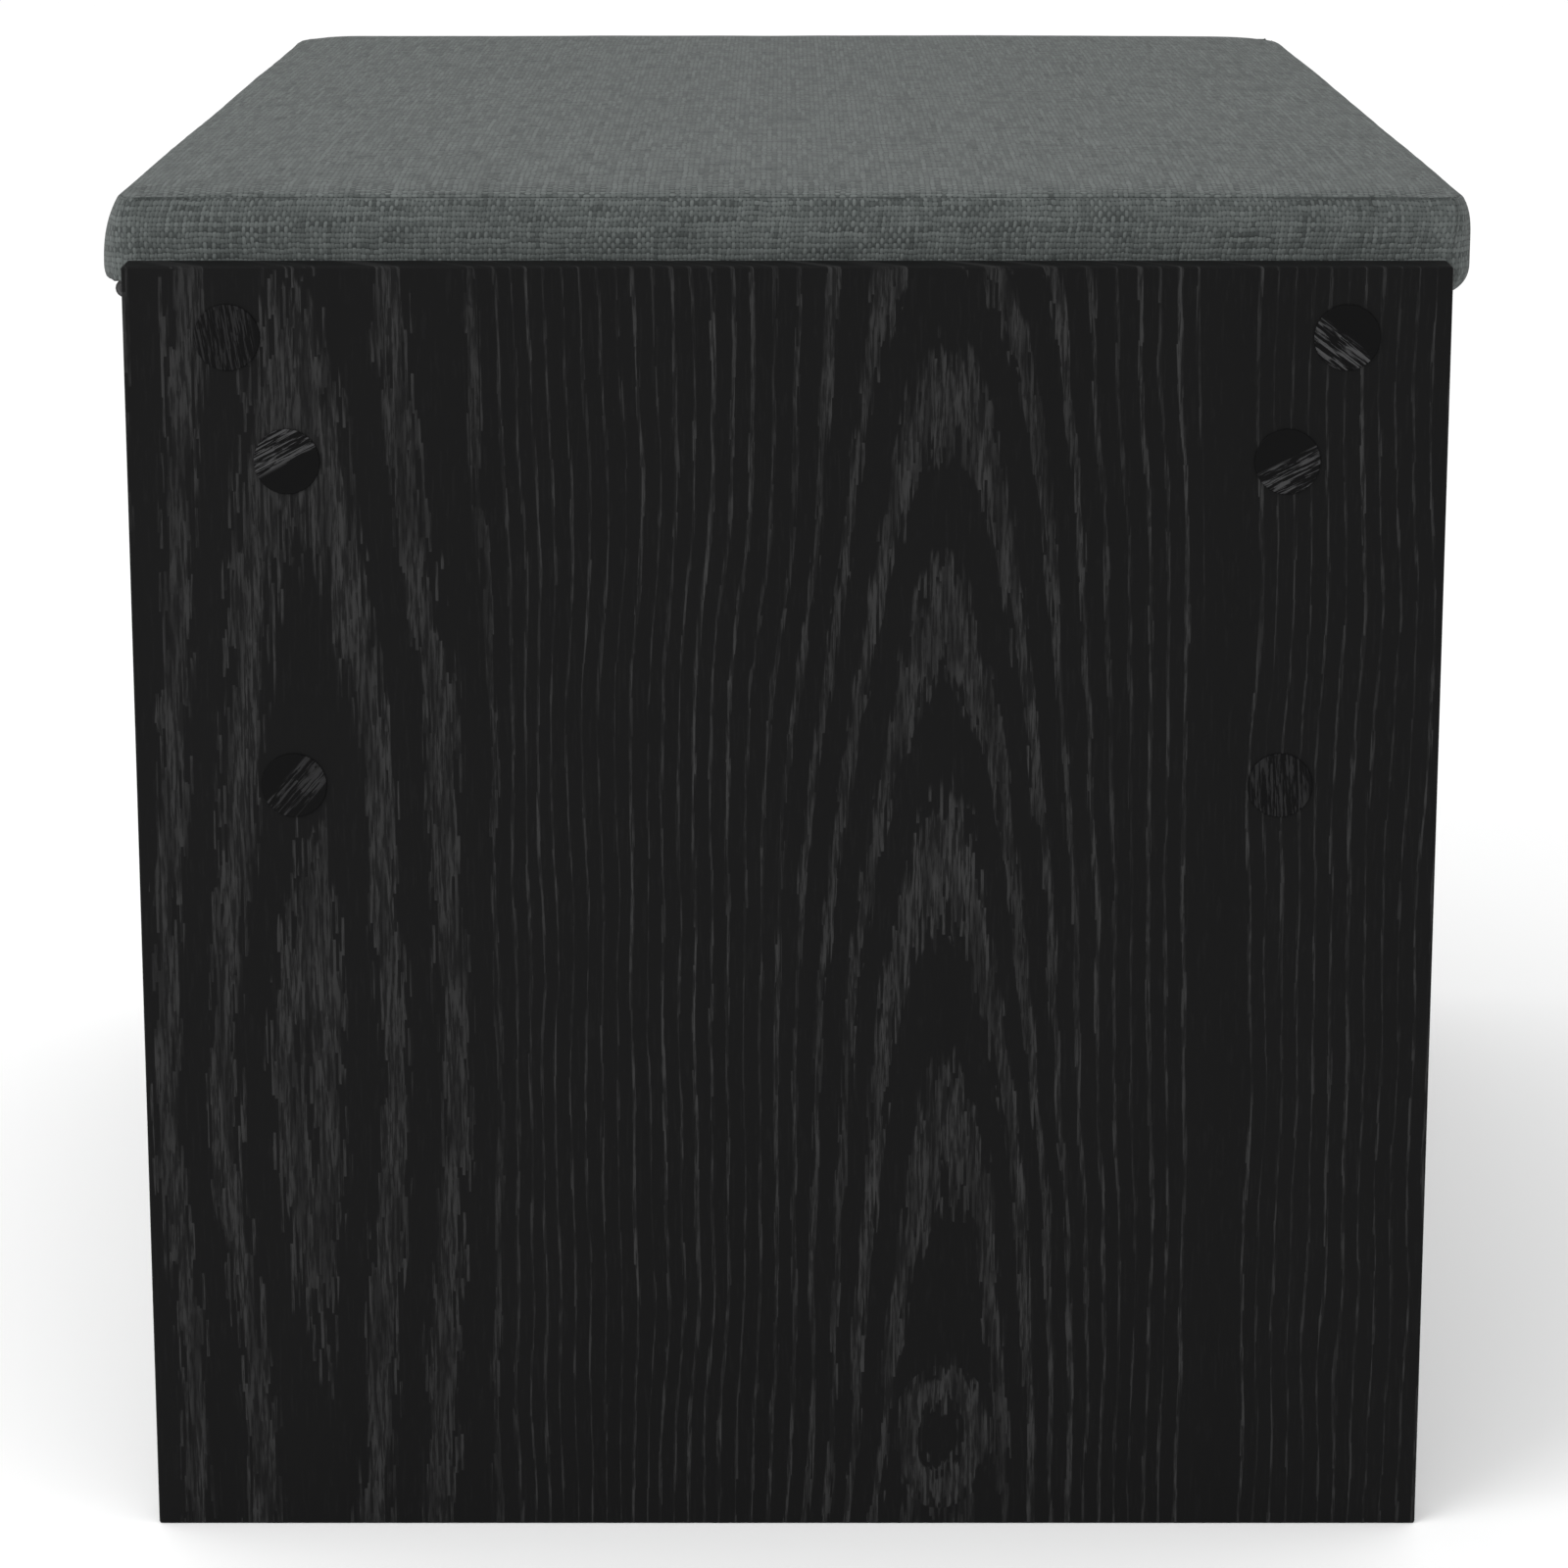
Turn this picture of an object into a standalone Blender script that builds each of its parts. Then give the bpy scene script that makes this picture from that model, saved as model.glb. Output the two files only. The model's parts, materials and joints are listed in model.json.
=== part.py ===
# Storage bench with an upholstered flip-up lid, as an assembly of separate pieces.
# X runs along the bench, the front faces -Y and +Z is up. The origin is on the floor
# under the middle of the bench. All sizes are in metres and angles in degrees.

import math

import bmesh
import bpy
from mathutils import Matrix

# Side panels and the boards between them
BENCH_LENGTH = 0.620       # over the outer faces of the side panels
PANEL_DEPTH = 0.420
PANEL_HEIGHT = 0.423
BOARD = 0.015              # thickness of every faced board
EDGE_ROUND = 0.0008        # rounding of the edge banding
TOUCH = 0.0003             # gap between pieces that touch
CUT_PAST = 0.010           # how far a cutter reaches past what it cuts
RAIL_WIDTH = 0.066
RAIL_DROP = 0.015          # top face of the rails below the panel tops
BOX_INSET = 0.0435         # outer face of a box board behind the panel's edge
BOX_HEIGHT = 0.170         # height of the front and back boards of the box
SHEET = 0.003              # hardboard bottom of the box
GROOVE_DEPTH = 0.005
GROOVE_RISE = 0.009        # groove above the lower edge of the box boards

# Connecting screws and the caps that hide them
CONNECTOR_LENGTH = 0.050
CONNECTOR_RADIUS = 0.0034
CONNECTOR_HEAD = 0.0048    # head radius
CONNECTOR_HEAD_DEPTH = 0.003
CONNECTOR_NECK = 0.0015    # cone under the head
CONNECTOR_TIP = 0.004      # cone at the point
CONNECTOR_SOCKET = 0.0025  # depth of the hexagonal socket
CONNECTOR_MARGIN = 0.032   # from a box board's upper and lower edge
BORE_CLEARANCE = 0.0004    # radial, round every screw and pin
BORE_SPARE = 0.002         # blind bore past the tip of its screw
HEAD_SPARE = 0.001         # counterbore past the screw's head
CAP_RADIUS = 0.0105
CAP_THICKNESS = 0.0004

# Upholstered lid, which drops between the side panels
LID_SIDE_GAP = 0.003       # between the lid's end and the side panel
LID_LIFT = 0.0021          # underside of the cover above the rails
LID_OVERHANG = 0.010       # fullest part of the side past the panel's edge
LID_ROLL = 0.0135          # depth of the rounding of the long sides
LID_END_ROLL = 0.003       # rounding under the flat ends
LID_WIDEST = 0.0129        # height of the fullest part above the underside
LID_SEAM = 0.0327          # height of the top seam above the underside
LID_SEAM_ANGLE = 49.0      # how far the side's curve has turned in at the seam
LID_CORNER_LENGTH = 0.020  # the corner's rounding along X
LID_CORNER_DEPTH = 0.008   # the corner's rounding along Y
LID_SHOULDER = 0.008       # width of the rounded rim inside the seam
LID_SHOULDER_RISE = 0.0022
LID_CROWN = 0.0052         # top of the cushion above the seam
CLOTH = 0.0012             # thickness of the cover
HEM = 0.026                # cover turned in under the lid board
FOAM_WALL = 0.005          # foam between the lid board's edge and the cover
LID_BOARD = 0.015
LID_BOARD_CORNER = 0.012   # corner radius of the lid board
DUST_SHEET = 0.0005
DUST_OVERLAP = 0.005       # dust sheet over the hem
FITTING_GAP = 0.001        # between the dust sheet and the fittings on the hem

# Butt hinges along the back rail
HINGE_LENGTH = 0.050
HINGE_END_GAP = 0.018      # from the side panel's inner face to the hinge
HINGE_RADIUS = 0.003       # barrel
HINGE_RISE = 0.0014        # barrel's axis above the lid's underside
HINGE_PIN = 0.0012         # pin radius
HINGE_LEAF = 0.0009        # leaf thickness
HINGE_KNUCKLES = 5
KNUCKLE_GAP = 0.0004
REBATE_GAP = 0.001         # between the barrel and the rebate in the lid
PIN_HEAD = 0.0008          # height of the heads of the hinge pins and of the rivets
HEAD_RATIO = 1.8           # a head's radius over its pin's
CROWN_RATIO = 1.4          # the flat top of a head over its pin
HINGE_SCREW_LENGTH = 0.012
HINGE_SCREW_RADIUS = 0.0014
HINGE_SCREW_HEAD = 0.0026
HINGE_SCREW_DOME = 0.0002
HINGE_SCREW_TIP = 0.003
HINGE_SCREW_SPACING = 0.030

# Slotted lid stays, one inside each side panel
STAY_REACH = 0.100         # from the hinge axis to the rivet and to the guide screw
STAY_SPREAD = 10.0         # angle at the hinge axis between the rivet and the screw
STAY_DROP = 0.0076         # rivet below the lid's underside
STAY_WIDTH = 0.012
STAY_THICKNESS = 0.0015
STAY_WALL_GAP = 0.0045     # between the arm and the side panel
STAY_PIN = 0.0020          # radius of the rivet and of the guide screw
STAY_SLOT_SPARE = 0.003    # slot past the guide screw at both limits
STAY_RELIEF = 0.002        # round the arm, where it would come near the back board
GUIDE_THREAD = 0.010       # thread in the side panel
GUIDE_HEAD = 0.0014        # height of the guide screw's head
LID_OPEN = 90.0            # lid's opening angle
BRACKET = 0.0013           # bracket thickness
BRACKET_WIDTH = 0.024
BRACKET_SCREW_HOLE = 0.0018

# Rubber bumpers on the front rail
BUMPER_RADIUS = 0.004
BUMPER_FRONT = 0.012       # centre behind the rail's front edge
BUMPER_SIDE = 0.230        # centre from the middle of the bench

# Places that follow from the sizes
inner_x = BENCH_LENGTH / 2 - BOARD
board_half = inner_x - TOUCH
edge_y = PANEL_DEPTH / 2
rail_top = PANEL_HEIGHT - RAIL_DROP
rail_z = rail_top - BOARD / 2
rail_y = edge_y - RAIL_WIDTH / 2
box_y = edge_y - BOX_INSET - BOARD / 2
box_top = rail_top - BOARD - TOUCH
box_low = box_top - BOX_HEIGHT
sheet_low = box_low + GROOVE_RISE + TOUCH
lid_low = rail_top + LID_LIFT
lid_end = inner_x - LID_SIDE_GAP
lid_side = edge_y + LID_OVERHANG
lid_seam = lid_low + LID_SEAM
leaf_face_y = edge_y + TOUCH
hinge_y = leaf_face_y + HINGE_RADIUS + TOUCH
hinge_z = lid_low + HINGE_RISE
hinge_x = inner_x - HINGE_END_GAP - HINGE_LENGTH / 2
rebate_y = hinge_y - HINGE_RADIUS - REBATE_GAP
rebate_z = hinge_z + HINGE_RADIUS + REBATE_GAP
mouth_x = lid_end - HEM
mouth_y = rebate_y - HEM
dust_x = mouth_x + DUST_OVERLAP
dust_y = mouth_y + DUST_OVERLAP
leaf_front_y = dust_y + FITTING_GAP
leaf_screw_y = (leaf_front_y + edge_y) / 2
rivet_z = lid_low - STAY_DROP
rivet_angle = math.asin((hinge_z - rivet_z) / STAY_REACH)
rivet_y = hinge_y - STAY_REACH * math.cos(rivet_angle)
guide_angle = rivet_angle + math.radians(STAY_SPREAD)
guide_y = hinge_y - STAY_REACH * math.cos(guide_angle)
guide_z = hinge_z - STAY_REACH * math.sin(guide_angle)
stay_x = inner_x - STAY_WALL_GAP - STAY_THICKNESS / 2
stay_lean = math.degrees(math.atan2(guide_y - rivet_y, rivet_z - guide_z))
slot_start = 2 * STAY_REACH * math.sin(math.radians(STAY_SPREAD / 2)) - STAY_SLOT_SPARE
slot_stop = 2 * STAY_REACH * math.sin(math.radians((STAY_SPREAD + LID_OPEN) / 2)) + STAY_SLOT_SPARE
bumper_y = edge_y - BUMPER_FRONT

SIDES = {"left": -1, "right": 1}
ENDS = {"front": -1, "back": 1}

# Colour, roughness and metallic value of each finish
FINISHES = {
    "black_oak": ((0.011, 0.011, 0.012), 0.50, 0.0),
    "foil": ((0.012, 0.012, 0.013), 0.45, 0.0),
    "hardboard": ((0.020, 0.018, 0.016), 0.70, 0.0),
    "raw_board": ((0.45, 0.33, 0.21), 0.80, 0.0),
    "foam": ((0.78, 0.74, 0.62), 0.90, 0.0),
    "grey_cloth": ((0.135, 0.145, 0.142), 0.95, 0.0),
    "black_cloth": ((0.015, 0.015, 0.016), 0.95, 0.0),
    "zinc": ((0.62, 0.63, 0.65), 0.35, 1.0),
    "black_steel": ((0.018, 0.018, 0.019), 0.40, 0.6),
    "rubber": ((0.020, 0.020, 0.020), 0.75, 0.0),
}


# ---- helpers ----

def clear_scene():
    for item in list(bpy.data.objects):
        bpy.data.objects.remove(item, do_unlink=True)


def make_material(name, finish):
    colour, roughness, metallic = FINISHES[finish]
    material = bpy.data.materials.new(name)
    material.use_nodes = True
    shader = material.node_tree.nodes["Principled BSDF"]
    shader.inputs["Base Color"].default_value = (*colour, 1.0)
    shader.inputs["Roughness"].default_value = roughness
    shader.inputs["Metallic"].default_value = metallic
    return material


def add_object(name, mesh, place=(0, 0, 0), turn=(0, 0, 0), parent=None):
    item = bpy.data.objects.new(name, mesh)
    item.location = place
    item.rotation_euler = [math.radians(angle) for angle in turn]
    bpy.context.collection.objects.link(item)
    if parent:
        item.parent = parent
        item.matrix_parent_inverse = Matrix.Translation(parent.location).inverted()
    return item


def add_piece(name, mesh, finish, place=(0, 0, 0), turn=(0, 0, 0), parent=None):
    item = add_object(name, mesh, place, turn, parent)
    if not mesh.materials:
        mesh.materials.append(None)
    item.material_slots[0].link = "OBJECT"
    item.material_slots[0].material = make_material(name, finish)
    return item


def add_empty(name, place):
    empty = bpy.data.objects.new(name, None)
    empty.location = place
    bpy.context.collection.objects.link(empty)
    return empty


def finish_mesh(name, bm, smooth_angle=None):
    bmesh.ops.recalc_face_normals(bm, faces=bm.faces)
    mesh = bpy.data.meshes.new(name)
    bm.to_mesh(mesh)
    bm.free()
    if smooth_angle:
        mesh.shade_smooth()
        mesh.set_sharp_from_angle(angle=math.radians(smooth_angle))
    return mesh


def box_into(bm, low, high):
    """Adds a box between two corners."""
    made = bmesh.ops.create_cube(bm, size=1.0)
    size = [b - a for a, b in zip(low, high)]
    middle = [(a + b) / 2 for a, b in zip(low, high)]
    matrix = Matrix.Translation(middle) @ Matrix.Diagonal((*size, 1.0))
    bmesh.ops.transform(bm, matrix=matrix, verts=made["verts"])


def turned_into(bm, profile, matrix=Matrix(), segments=16):
    """Adds a turned solid. The profile's (radius, height) points run up its outer side,
    from a point on the axis to a point on the axis. A third value of 6 makes a hexagon."""
    rings = []
    for point in profile:
        radius, height = point[:2]
        if radius == 0:
            rings.append([bm.verts.new(matrix @ Matrix.Translation((0, 0, height)).translation)])
            continue
        ring = []
        for i in range(segments):
            angle = 2 * math.pi * i / segments
            reach = radius
            if len(point) == 3:
                half = math.pi / point[2]
                reach = radius * math.cos(half) / math.cos(angle % (2 * half) - half)
            place = (reach * math.cos(angle), reach * math.sin(angle), height)
            ring.append(bm.verts.new((matrix @ Matrix.Translation(place)).translation))
        rings.append(ring)
    for lower, upper in zip(rings, rings[1:]):
        for i in range(segments):
            k = (i + 1) % segments
            corners = [lower[i % len(lower)], lower[k % len(lower)],
                       upper[k % len(upper)], upper[i % len(upper)]]
            bm.faces.new(list(dict.fromkeys(corners)))


def rod_profile(radius, low, high):
    return [(0, low), (radius, low), (radius, high), (0, high)]


def headed_pin(radius, low, high):
    """Profile of a pin from low to high with a softened head at each end."""
    wide = radius * HEAD_RATIO
    crown = radius * CROWN_RATIO
    return [(0, low - PIN_HEAD), (crown, low - PIN_HEAD), (wide, low - PIN_HEAD / 2), (wide, low),
            (radius, low), (radius, high),
            (wide, high), (wide, high + PIN_HEAD / 2), (crown, high + PIN_HEAD), (0, high + PIN_HEAD)]


def along_x(side, x, y, z):
    """Matrix that turns a mesh's +Z to point out of the bench's side, at a point."""
    return Matrix.Translation((x, y, z)) @ Matrix.Rotation(side * math.pi / 2, 4, "Y")


def along_y(x, y, z):
    """Matrix that turns a mesh's +Z to point to the back, at a point."""
    return Matrix.Translation((x, y, z)) @ Matrix.Rotation(-math.pi / 2, 4, "X")


def board_mesh(name, size):
    bm = bmesh.new()
    box_into(bm, [-s / 2 for s in size], [s / 2 for s in size])
    return finish_mesh(name, bm)


def round_edges(item, width=EDGE_ROUND, segments=2):
    bevel = item.modifiers.new("edge", "BEVEL")
    bevel.width = width
    bevel.segments = segments
    bevel.limit_method = "ANGLE"


def add_cutter(name, bm):
    item = add_object(name, finish_mesh(name, bm))
    item.hide_render = True
    item.display_type = "WIRE"
    return item


def combine(item, cutter, operation="DIFFERENCE"):
    boolean = item.modifiers.new(cutter.name, "BOOLEAN")
    boolean.operation = operation
    boolean.solver = "EXACT"
    boolean.object = cutter


# ---- carcass ----

def connector_places(side):
    """Name, y and z of the six connecting screws in one side panel."""
    places = []
    for end, sign in ENDS.items():
        places.append((f"{side}_rail_{end}", sign * rail_y, rail_z))
        places.append((f"{side}_{end}_upper", sign * box_y, box_top - CONNECTOR_MARGIN))
        places.append((f"{side}_{end}_lower", sign * box_y, box_low + CONNECTOR_MARGIN))
    return places


def connector_bores(side):
    """Stepped bores for one side's connecting screws, through the panel into the boards."""
    sign = SIDES[side]
    bm = bmesh.new()
    bore = CONNECTOR_RADIUS + BORE_CLEARANCE
    wide = CONNECTOR_HEAD + BORE_CLEARANCE
    tip = -CONNECTOR_LENGTH - BORE_SPARE
    sunk = -CONNECTOR_HEAD_DEPTH - HEAD_SPARE
    profile = [(0, tip), (bore, tip), (bore, sunk - HEAD_SPARE), (wide, sunk),
               (wide, CUT_PAST), (0, CUT_PAST)]
    for _, y, z in connector_places(side):
        turned_into(bm, profile, along_x(sign, sign * BENCH_LENGTH / 2, y, z))
    return add_cutter(f"bores_{side}", bm)


def groove_cutter():
    """Groove round the inside of the box that holds the hardboard bottom."""
    reach_x = inner_x + GROOVE_DEPTH
    reach_y = box_y - BOARD / 2 + GROOVE_DEPTH
    bm = bmesh.new()
    box_into(bm, (-reach_x, -reach_y, box_low + GROOVE_RISE),
             (reach_x, reach_y, box_low + GROOVE_RISE + SHEET + 2 * TOUCH))
    return add_cutter("groove", bm)


def guide_bore(side):
    sign = SIDES[side]
    bm = bmesh.new()
    turned_into(bm, rod_profile(STAY_PIN, -CUT_PAST, GUIDE_THREAD + BORE_SPARE),
                along_x(sign, sign * inner_x, guide_y, guide_z), 12)
    return add_cutter(f"guide_bore_{side}", bm)


def arm_relief(side):
    """Room for the stay arm in the end of the back board; it cuts only where the arm comes near."""
    outward = SIDES[side] * (STAY_THICKNESS / 2 + STAY_WALL_GAP)
    inward = -SIDES[side] * (STAY_THICKNESS / 2 + STAY_RELIEF)
    bm = bmesh.new()
    slot_outline(bm, STAY_WIDTH / 2 + STAY_RELIEF, 0, slot_stop,
                 min(inward, outward), max(inward, outward))
    relief = add_cutter(f"arm_relief_{side}", bm)
    relief.location = (SIDES[side] * stay_x, rivet_y, rivet_z)
    relief.rotation_euler = (math.radians(stay_lean), 0, 0)
    return relief


def hinge_screw_places(side):
    centre = SIDES[side] * hinge_x
    return [centre - HINGE_SCREW_SPACING / 2, centre + HINGE_SCREW_SPACING / 2]


def rail_screw_bores():
    """Pilot bores in the back rail's edge for the hinges' frame leaves."""
    bm = bmesh.new()
    for side in SIDES:
        for x in hinge_screw_places(side):
            turned_into(bm, rod_profile(HINGE_SCREW_RADIUS + BORE_CLEARANCE,
                                        -HINGE_SCREW_LENGTH - BORE_SPARE, CUT_PAST),
                        along_y(x, edge_y, rail_z), 12)
    return add_cutter("rail_pilots", bm)


def make_carcass():
    bores = {side: connector_bores(side) for side in SIDES}
    groove = groove_cutter()
    for side, sign in SIDES.items():
        mesh = board_mesh("side_panel", (BOARD, PANEL_DEPTH, PANEL_HEIGHT))
        panel = add_piece(f"side_panel_{side}", mesh, "black_oak",
                          (sign * (inner_x + BOARD / 2), 0, PANEL_HEIGHT / 2))
        round_edges(panel)
        combine(panel, bores[side])
        combine(panel, groove)
        combine(panel, guide_bore(side))
    for end, sign in ENDS.items():
        mesh = board_mesh("top_rail", (2 * board_half, RAIL_WIDTH, BOARD))
        rail = add_piece(f"top_rail_{end}", mesh, "black_oak", (0, sign * rail_y, rail_z))
        mesh = board_mesh("box_board", (2 * board_half, BOARD, BOX_HEIGHT))
        board = add_piece(f"{end}_board", mesh, "black_oak",
                          (0, sign * box_y, (box_low + box_top) / 2))
        for item in (rail, board):
            round_edges(item)
            for side in SIDES:
                combine(item, bores[side])
        combine(board, groove)
        if end == "back":
            combine(rail, rail_screw_bores())
            for side in SIDES:
                combine(board, arm_relief(side))
    half_x = inner_x + GROOVE_DEPTH - TOUCH
    half_y = box_y - BOARD / 2 + GROOVE_DEPTH - TOUCH
    mesh = board_mesh("box_bottom", (2 * half_x, 2 * half_y, SHEET))
    add_piece("box_bottom", mesh, "hardboard", (0, 0, sheet_low + SHEET / 2))


def connector_mesh():
    """Connecting screw with a hexagonal socket; its head's top is at the mesh's origin."""
    socket = CONNECTOR_HEAD / 2
    bm = bmesh.new()
    turned_into(bm, [(0, -CONNECTOR_LENGTH), (CONNECTOR_RADIUS / 2, -CONNECTOR_LENGTH),
                     (CONNECTOR_RADIUS, CONNECTOR_TIP - CONNECTOR_LENGTH),
                     (CONNECTOR_RADIUS, -CONNECTOR_HEAD_DEPTH - CONNECTOR_NECK),
                     (CONNECTOR_HEAD, -CONNECTOR_HEAD_DEPTH), (CONNECTOR_HEAD, 0),
                     (socket, 0, 6), (socket, -CONNECTOR_SOCKET, 6), (0, -CONNECTOR_SOCKET)],
                segments=12)
    return finish_mesh("connector", bm, 40)


def cap_mesh():
    """Thin self-adhesive cap with a softened rim; its back is at the mesh's origin."""
    rim = CAP_THICKNESS / 2
    bm = bmesh.new()
    turned_into(bm, [(0, 0), (CAP_RADIUS, 0), (CAP_RADIUS, rim),
                     (CAP_RADIUS - rim, CAP_THICKNESS), (0, CAP_THICKNESS)], segments=36)
    return finish_mesh("cap", bm, 40)


def make_fasteners():
    connector = connector_mesh()
    cap = cap_mesh()
    for side, sign in SIDES.items():
        turn = (0, sign * 90, 0)
        for place, y, z in connector_places(side):
            outer = sign * BENCH_LENGTH / 2
            add_piece(f"connector_{place}", connector, "zinc", (outer - sign * TOUCH, y, z), turn)
            add_piece(f"cover_cap_{place}", cap, "foil", (outer + sign * TOUCH, y, z), turn)


def make_bumpers():
    height = LID_LIFT - 2 * TOUCH
    bm = bmesh.new()
    turned_into(bm, [(0, 0), (BUMPER_RADIUS, 0), (BUMPER_RADIUS, height / 2),
                     (BUMPER_RADIUS * 0.75, height), (0, height)])
    mesh = finish_mesh("bumper", bm, 40)
    for side, sign in SIDES.items():
        add_piece(f"bumper_{side}", mesh, "rubber",
                  (sign * BUMPER_SIDE, -bumper_y, rail_top + TOUCH))


# ---- lid ----

def round_ring(bm, half_x, half_y, z, corner_x=LID_CORNER_LENGTH, corner_y=LID_CORNER_DEPTH):
    """One rectangle with rounded corners, level at a height."""
    corners = [(1, 1), (-1, 1), (-1, -1), (1, -1)]
    steps = 4
    ring = []
    for index, (sx, sy) in enumerate(corners):
        for i in range(steps + 1):
            angle = math.pi / 2 * (index + i / steps)
            x = sx * (half_x - corner_x) + corner_x * math.cos(angle)
            y = sy * (half_y - corner_y) + corner_y * math.sin(angle)
            ring.append(bm.verts.new((x, y, z)))
    return ring


def lid_sections(inset):
    """Half length, half depth and height of each ring, from the underside to the crown.
    The inset makes the skin smaller all round, for the cover's inside and for the foam."""
    low = lid_low + inset
    widest = lid_low + LID_WIDEST
    seam_angle = math.radians(LID_SEAM_ANGLE)
    rise = (LID_SEAM - LID_WIDEST) / math.sin(seam_angle) - inset
    sections = []
    for i in range(5):
        angle = math.pi / 2 * (i / 4 - 1)
        sections.append((lid_end - LID_END_ROLL + (LID_END_ROLL - inset) * math.cos(angle),
                         lid_side - LID_ROLL + (LID_ROLL - inset) * math.cos(angle),
                         widest + (widest - low) * math.sin(angle)))
    for i in range(1, 4):
        angle = seam_angle * i / 3
        sections.append((lid_end - inset,
                         lid_side - LID_ROLL + (LID_ROLL - inset) * math.cos(angle),
                         widest + rise * math.sin(angle)))
    seam_x, seam_y, _ = sections[-1]
    for share, height in ((1, LID_SHOULDER_RISE), (8, (LID_SHOULDER_RISE + LID_CROWN) / 2),
                          (14, LID_CROWN)):
        sections.append((seam_x - share * LID_SHOULDER, seam_y - share * LID_SHOULDER,
                         lid_seam + height - inset))
    return sections


def close_rings(bm, rings):
    """Walls between level rings, and a face at each end."""
    for lower, upper in zip(rings, rings[1:]):
        for i in range(len(lower)):
            k = (i + 1) % len(lower)
            bm.faces.new((lower[i], lower[k], upper[k], upper[i]))
    bm.faces.new(rings[0][::-1])
    bm.faces.new(rings[-1])


def pillow(name, inset):
    """Closed solid of the cushion's shape, with the rebate for the hinge barrels cut out."""
    bm = bmesh.new()
    close_rings(bm, [round_ring(bm, *section) for section in lid_sections(inset)])
    mesh = finish_mesh(name, bm, 50)
    rebate = bmesh.new()
    box_into(rebate, (-inner_x, rebate_y - inset, rail_z),
             (inner_x, lid_side + CUT_PAST, rebate_z + inset))
    return mesh, add_cutter(f"{name}_rebate", rebate)


def as_cutter(name, inset):
    mesh, rebate = pillow(name, inset)
    item = add_object(name, mesh)
    item.hide_render = True
    item.display_type = "WIRE"
    combine(item, rebate)
    return item


def lid_screw_bores():
    """Bores through the hem into the lid board for the hinges' lid leaves."""
    bm = bmesh.new()
    for side in SIDES:
        for x in hinge_screw_places(side):
            turned_into(bm, rod_profile(HINGE_SCREW_RADIUS + BORE_CLEARANCE, -CUT_PAST,
                                        HINGE_SCREW_LENGTH + BORE_SPARE),
                        Matrix.Translation((x, leaf_screw_y, lid_low - HINGE_LEAF)), 12)
    return add_cutter("lid_pilots", bm)


def lid_board_solid(clearance, low):
    """Lid board with rounded corners, or with a clearance the pocket that it fits in."""
    half_x = lid_end - CLOTH - TOUCH - FOAM_WALL + clearance
    half_y = rebate_y - CLOTH - TOUCH - FOAM_WALL / 2 + clearance
    corner = LID_BOARD_CORNER + clearance
    top = lid_low + CLOTH + TOUCH + LID_BOARD + clearance
    bm = bmesh.new()
    close_rings(bm, [round_ring(bm, half_x, half_y, z, corner, corner) for z in (low, top)])
    return bm


def make_lid(axis):
    bores = lid_screw_bores()

    solid = lid_board_solid(0, lid_low + CLOTH + TOUCH)
    board = add_piece("lid_board", finish_mesh("lid_board", solid), "raw_board", parent=axis)
    combine(board, bores)

    mesh, rebate = pillow("lid_foam", CLOTH + TOUCH)
    foam = add_piece("lid_foam", mesh, "foam", parent=axis)
    combine(foam, rebate)
    combine(foam, add_cutter("foam_pocket", lid_board_solid(TOUCH, rail_z)))

    mesh, rebate = pillow("lid_cover", 0)
    cover = add_piece("lid_cover", mesh, "grey_cloth", parent=axis)
    combine(cover, rebate)
    combine(cover, as_cutter("cover_inside", CLOTH))
    mouth = bmesh.new()
    box_into(mouth, (-mouth_x, -mouth_y, lid_low - CUT_PAST), (mouth_x, mouth_y, lid_low + LID_BOARD))
    combine(cover, add_cutter("cover_mouth", mouth))
    combine(cover, bores)

    mesh = board_mesh("dust_sheet", (2 * dust_x, 2 * dust_y, DUST_SHEET))
    add_piece("lid_dust_sheet", mesh, "black_cloth",
              (0, 0, lid_low - TOUCH - DUST_SHEET / 2), parent=axis)


# ---- hinges ----

def knuckle_spans(side, own):
    """X spans of the frame leaf's knuckles (own = 0) or of the lid leaf's (own = 1)."""
    start = SIDES[side] * hinge_x - HINGE_LENGTH / 2
    pitch = HINGE_LENGTH / HINGE_KNUCKLES
    spans = []
    for i in range(own, HINGE_KNUCKLES, 2):
        spans.append((start + i * pitch + KNUCKLE_GAP / 2, start + (i + 1) * pitch - KNUCKLE_GAP / 2))
    return spans


def knuckle_cutter(name, side, own, tab_low, tab_high):
    """Barrel sections with the tabs that join them to their leaf, as separate solids."""
    items = []
    for index, (start, stop) in enumerate(knuckle_spans(side, own)):
        bm = bmesh.new()
        turned_into(bm, rod_profile(HINGE_RADIUS, start, stop),
                    Matrix.Translation((0, hinge_y, hinge_z)) @ Matrix.Rotation(math.pi / 2, 4, "Y"))
        items.append(add_cutter(f"{name}_knuckle_{index}", bm))
        tab = bmesh.new()
        inset = 2 * KNUCKLE_GAP
        box_into(tab, (start + inset, *tab_low), (stop - inset, *tab_high))
        items.append(add_cutter(f"{name}_tab_{index}", tab))
    return items


def leaf_screw_holes(name, places, matrix_of):
    """Countersunk holes; the leaf's outer face is at each matrix's origin."""
    bm = bmesh.new()
    head = HINGE_SCREW_HEAD + BORE_CLEARANCE
    shank = HINGE_SCREW_RADIUS + BORE_CLEARANCE
    for x in places:
        turned_into(bm, [(0, -CUT_PAST), (shank, -CUT_PAST), (shank, -HINGE_LEAF), (head, 0),
                         (head, HINGE_LEAF), (0, HINGE_LEAF)], matrix_of(x), 16)
    return add_cutter(f"{name}_holes", bm)


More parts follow.
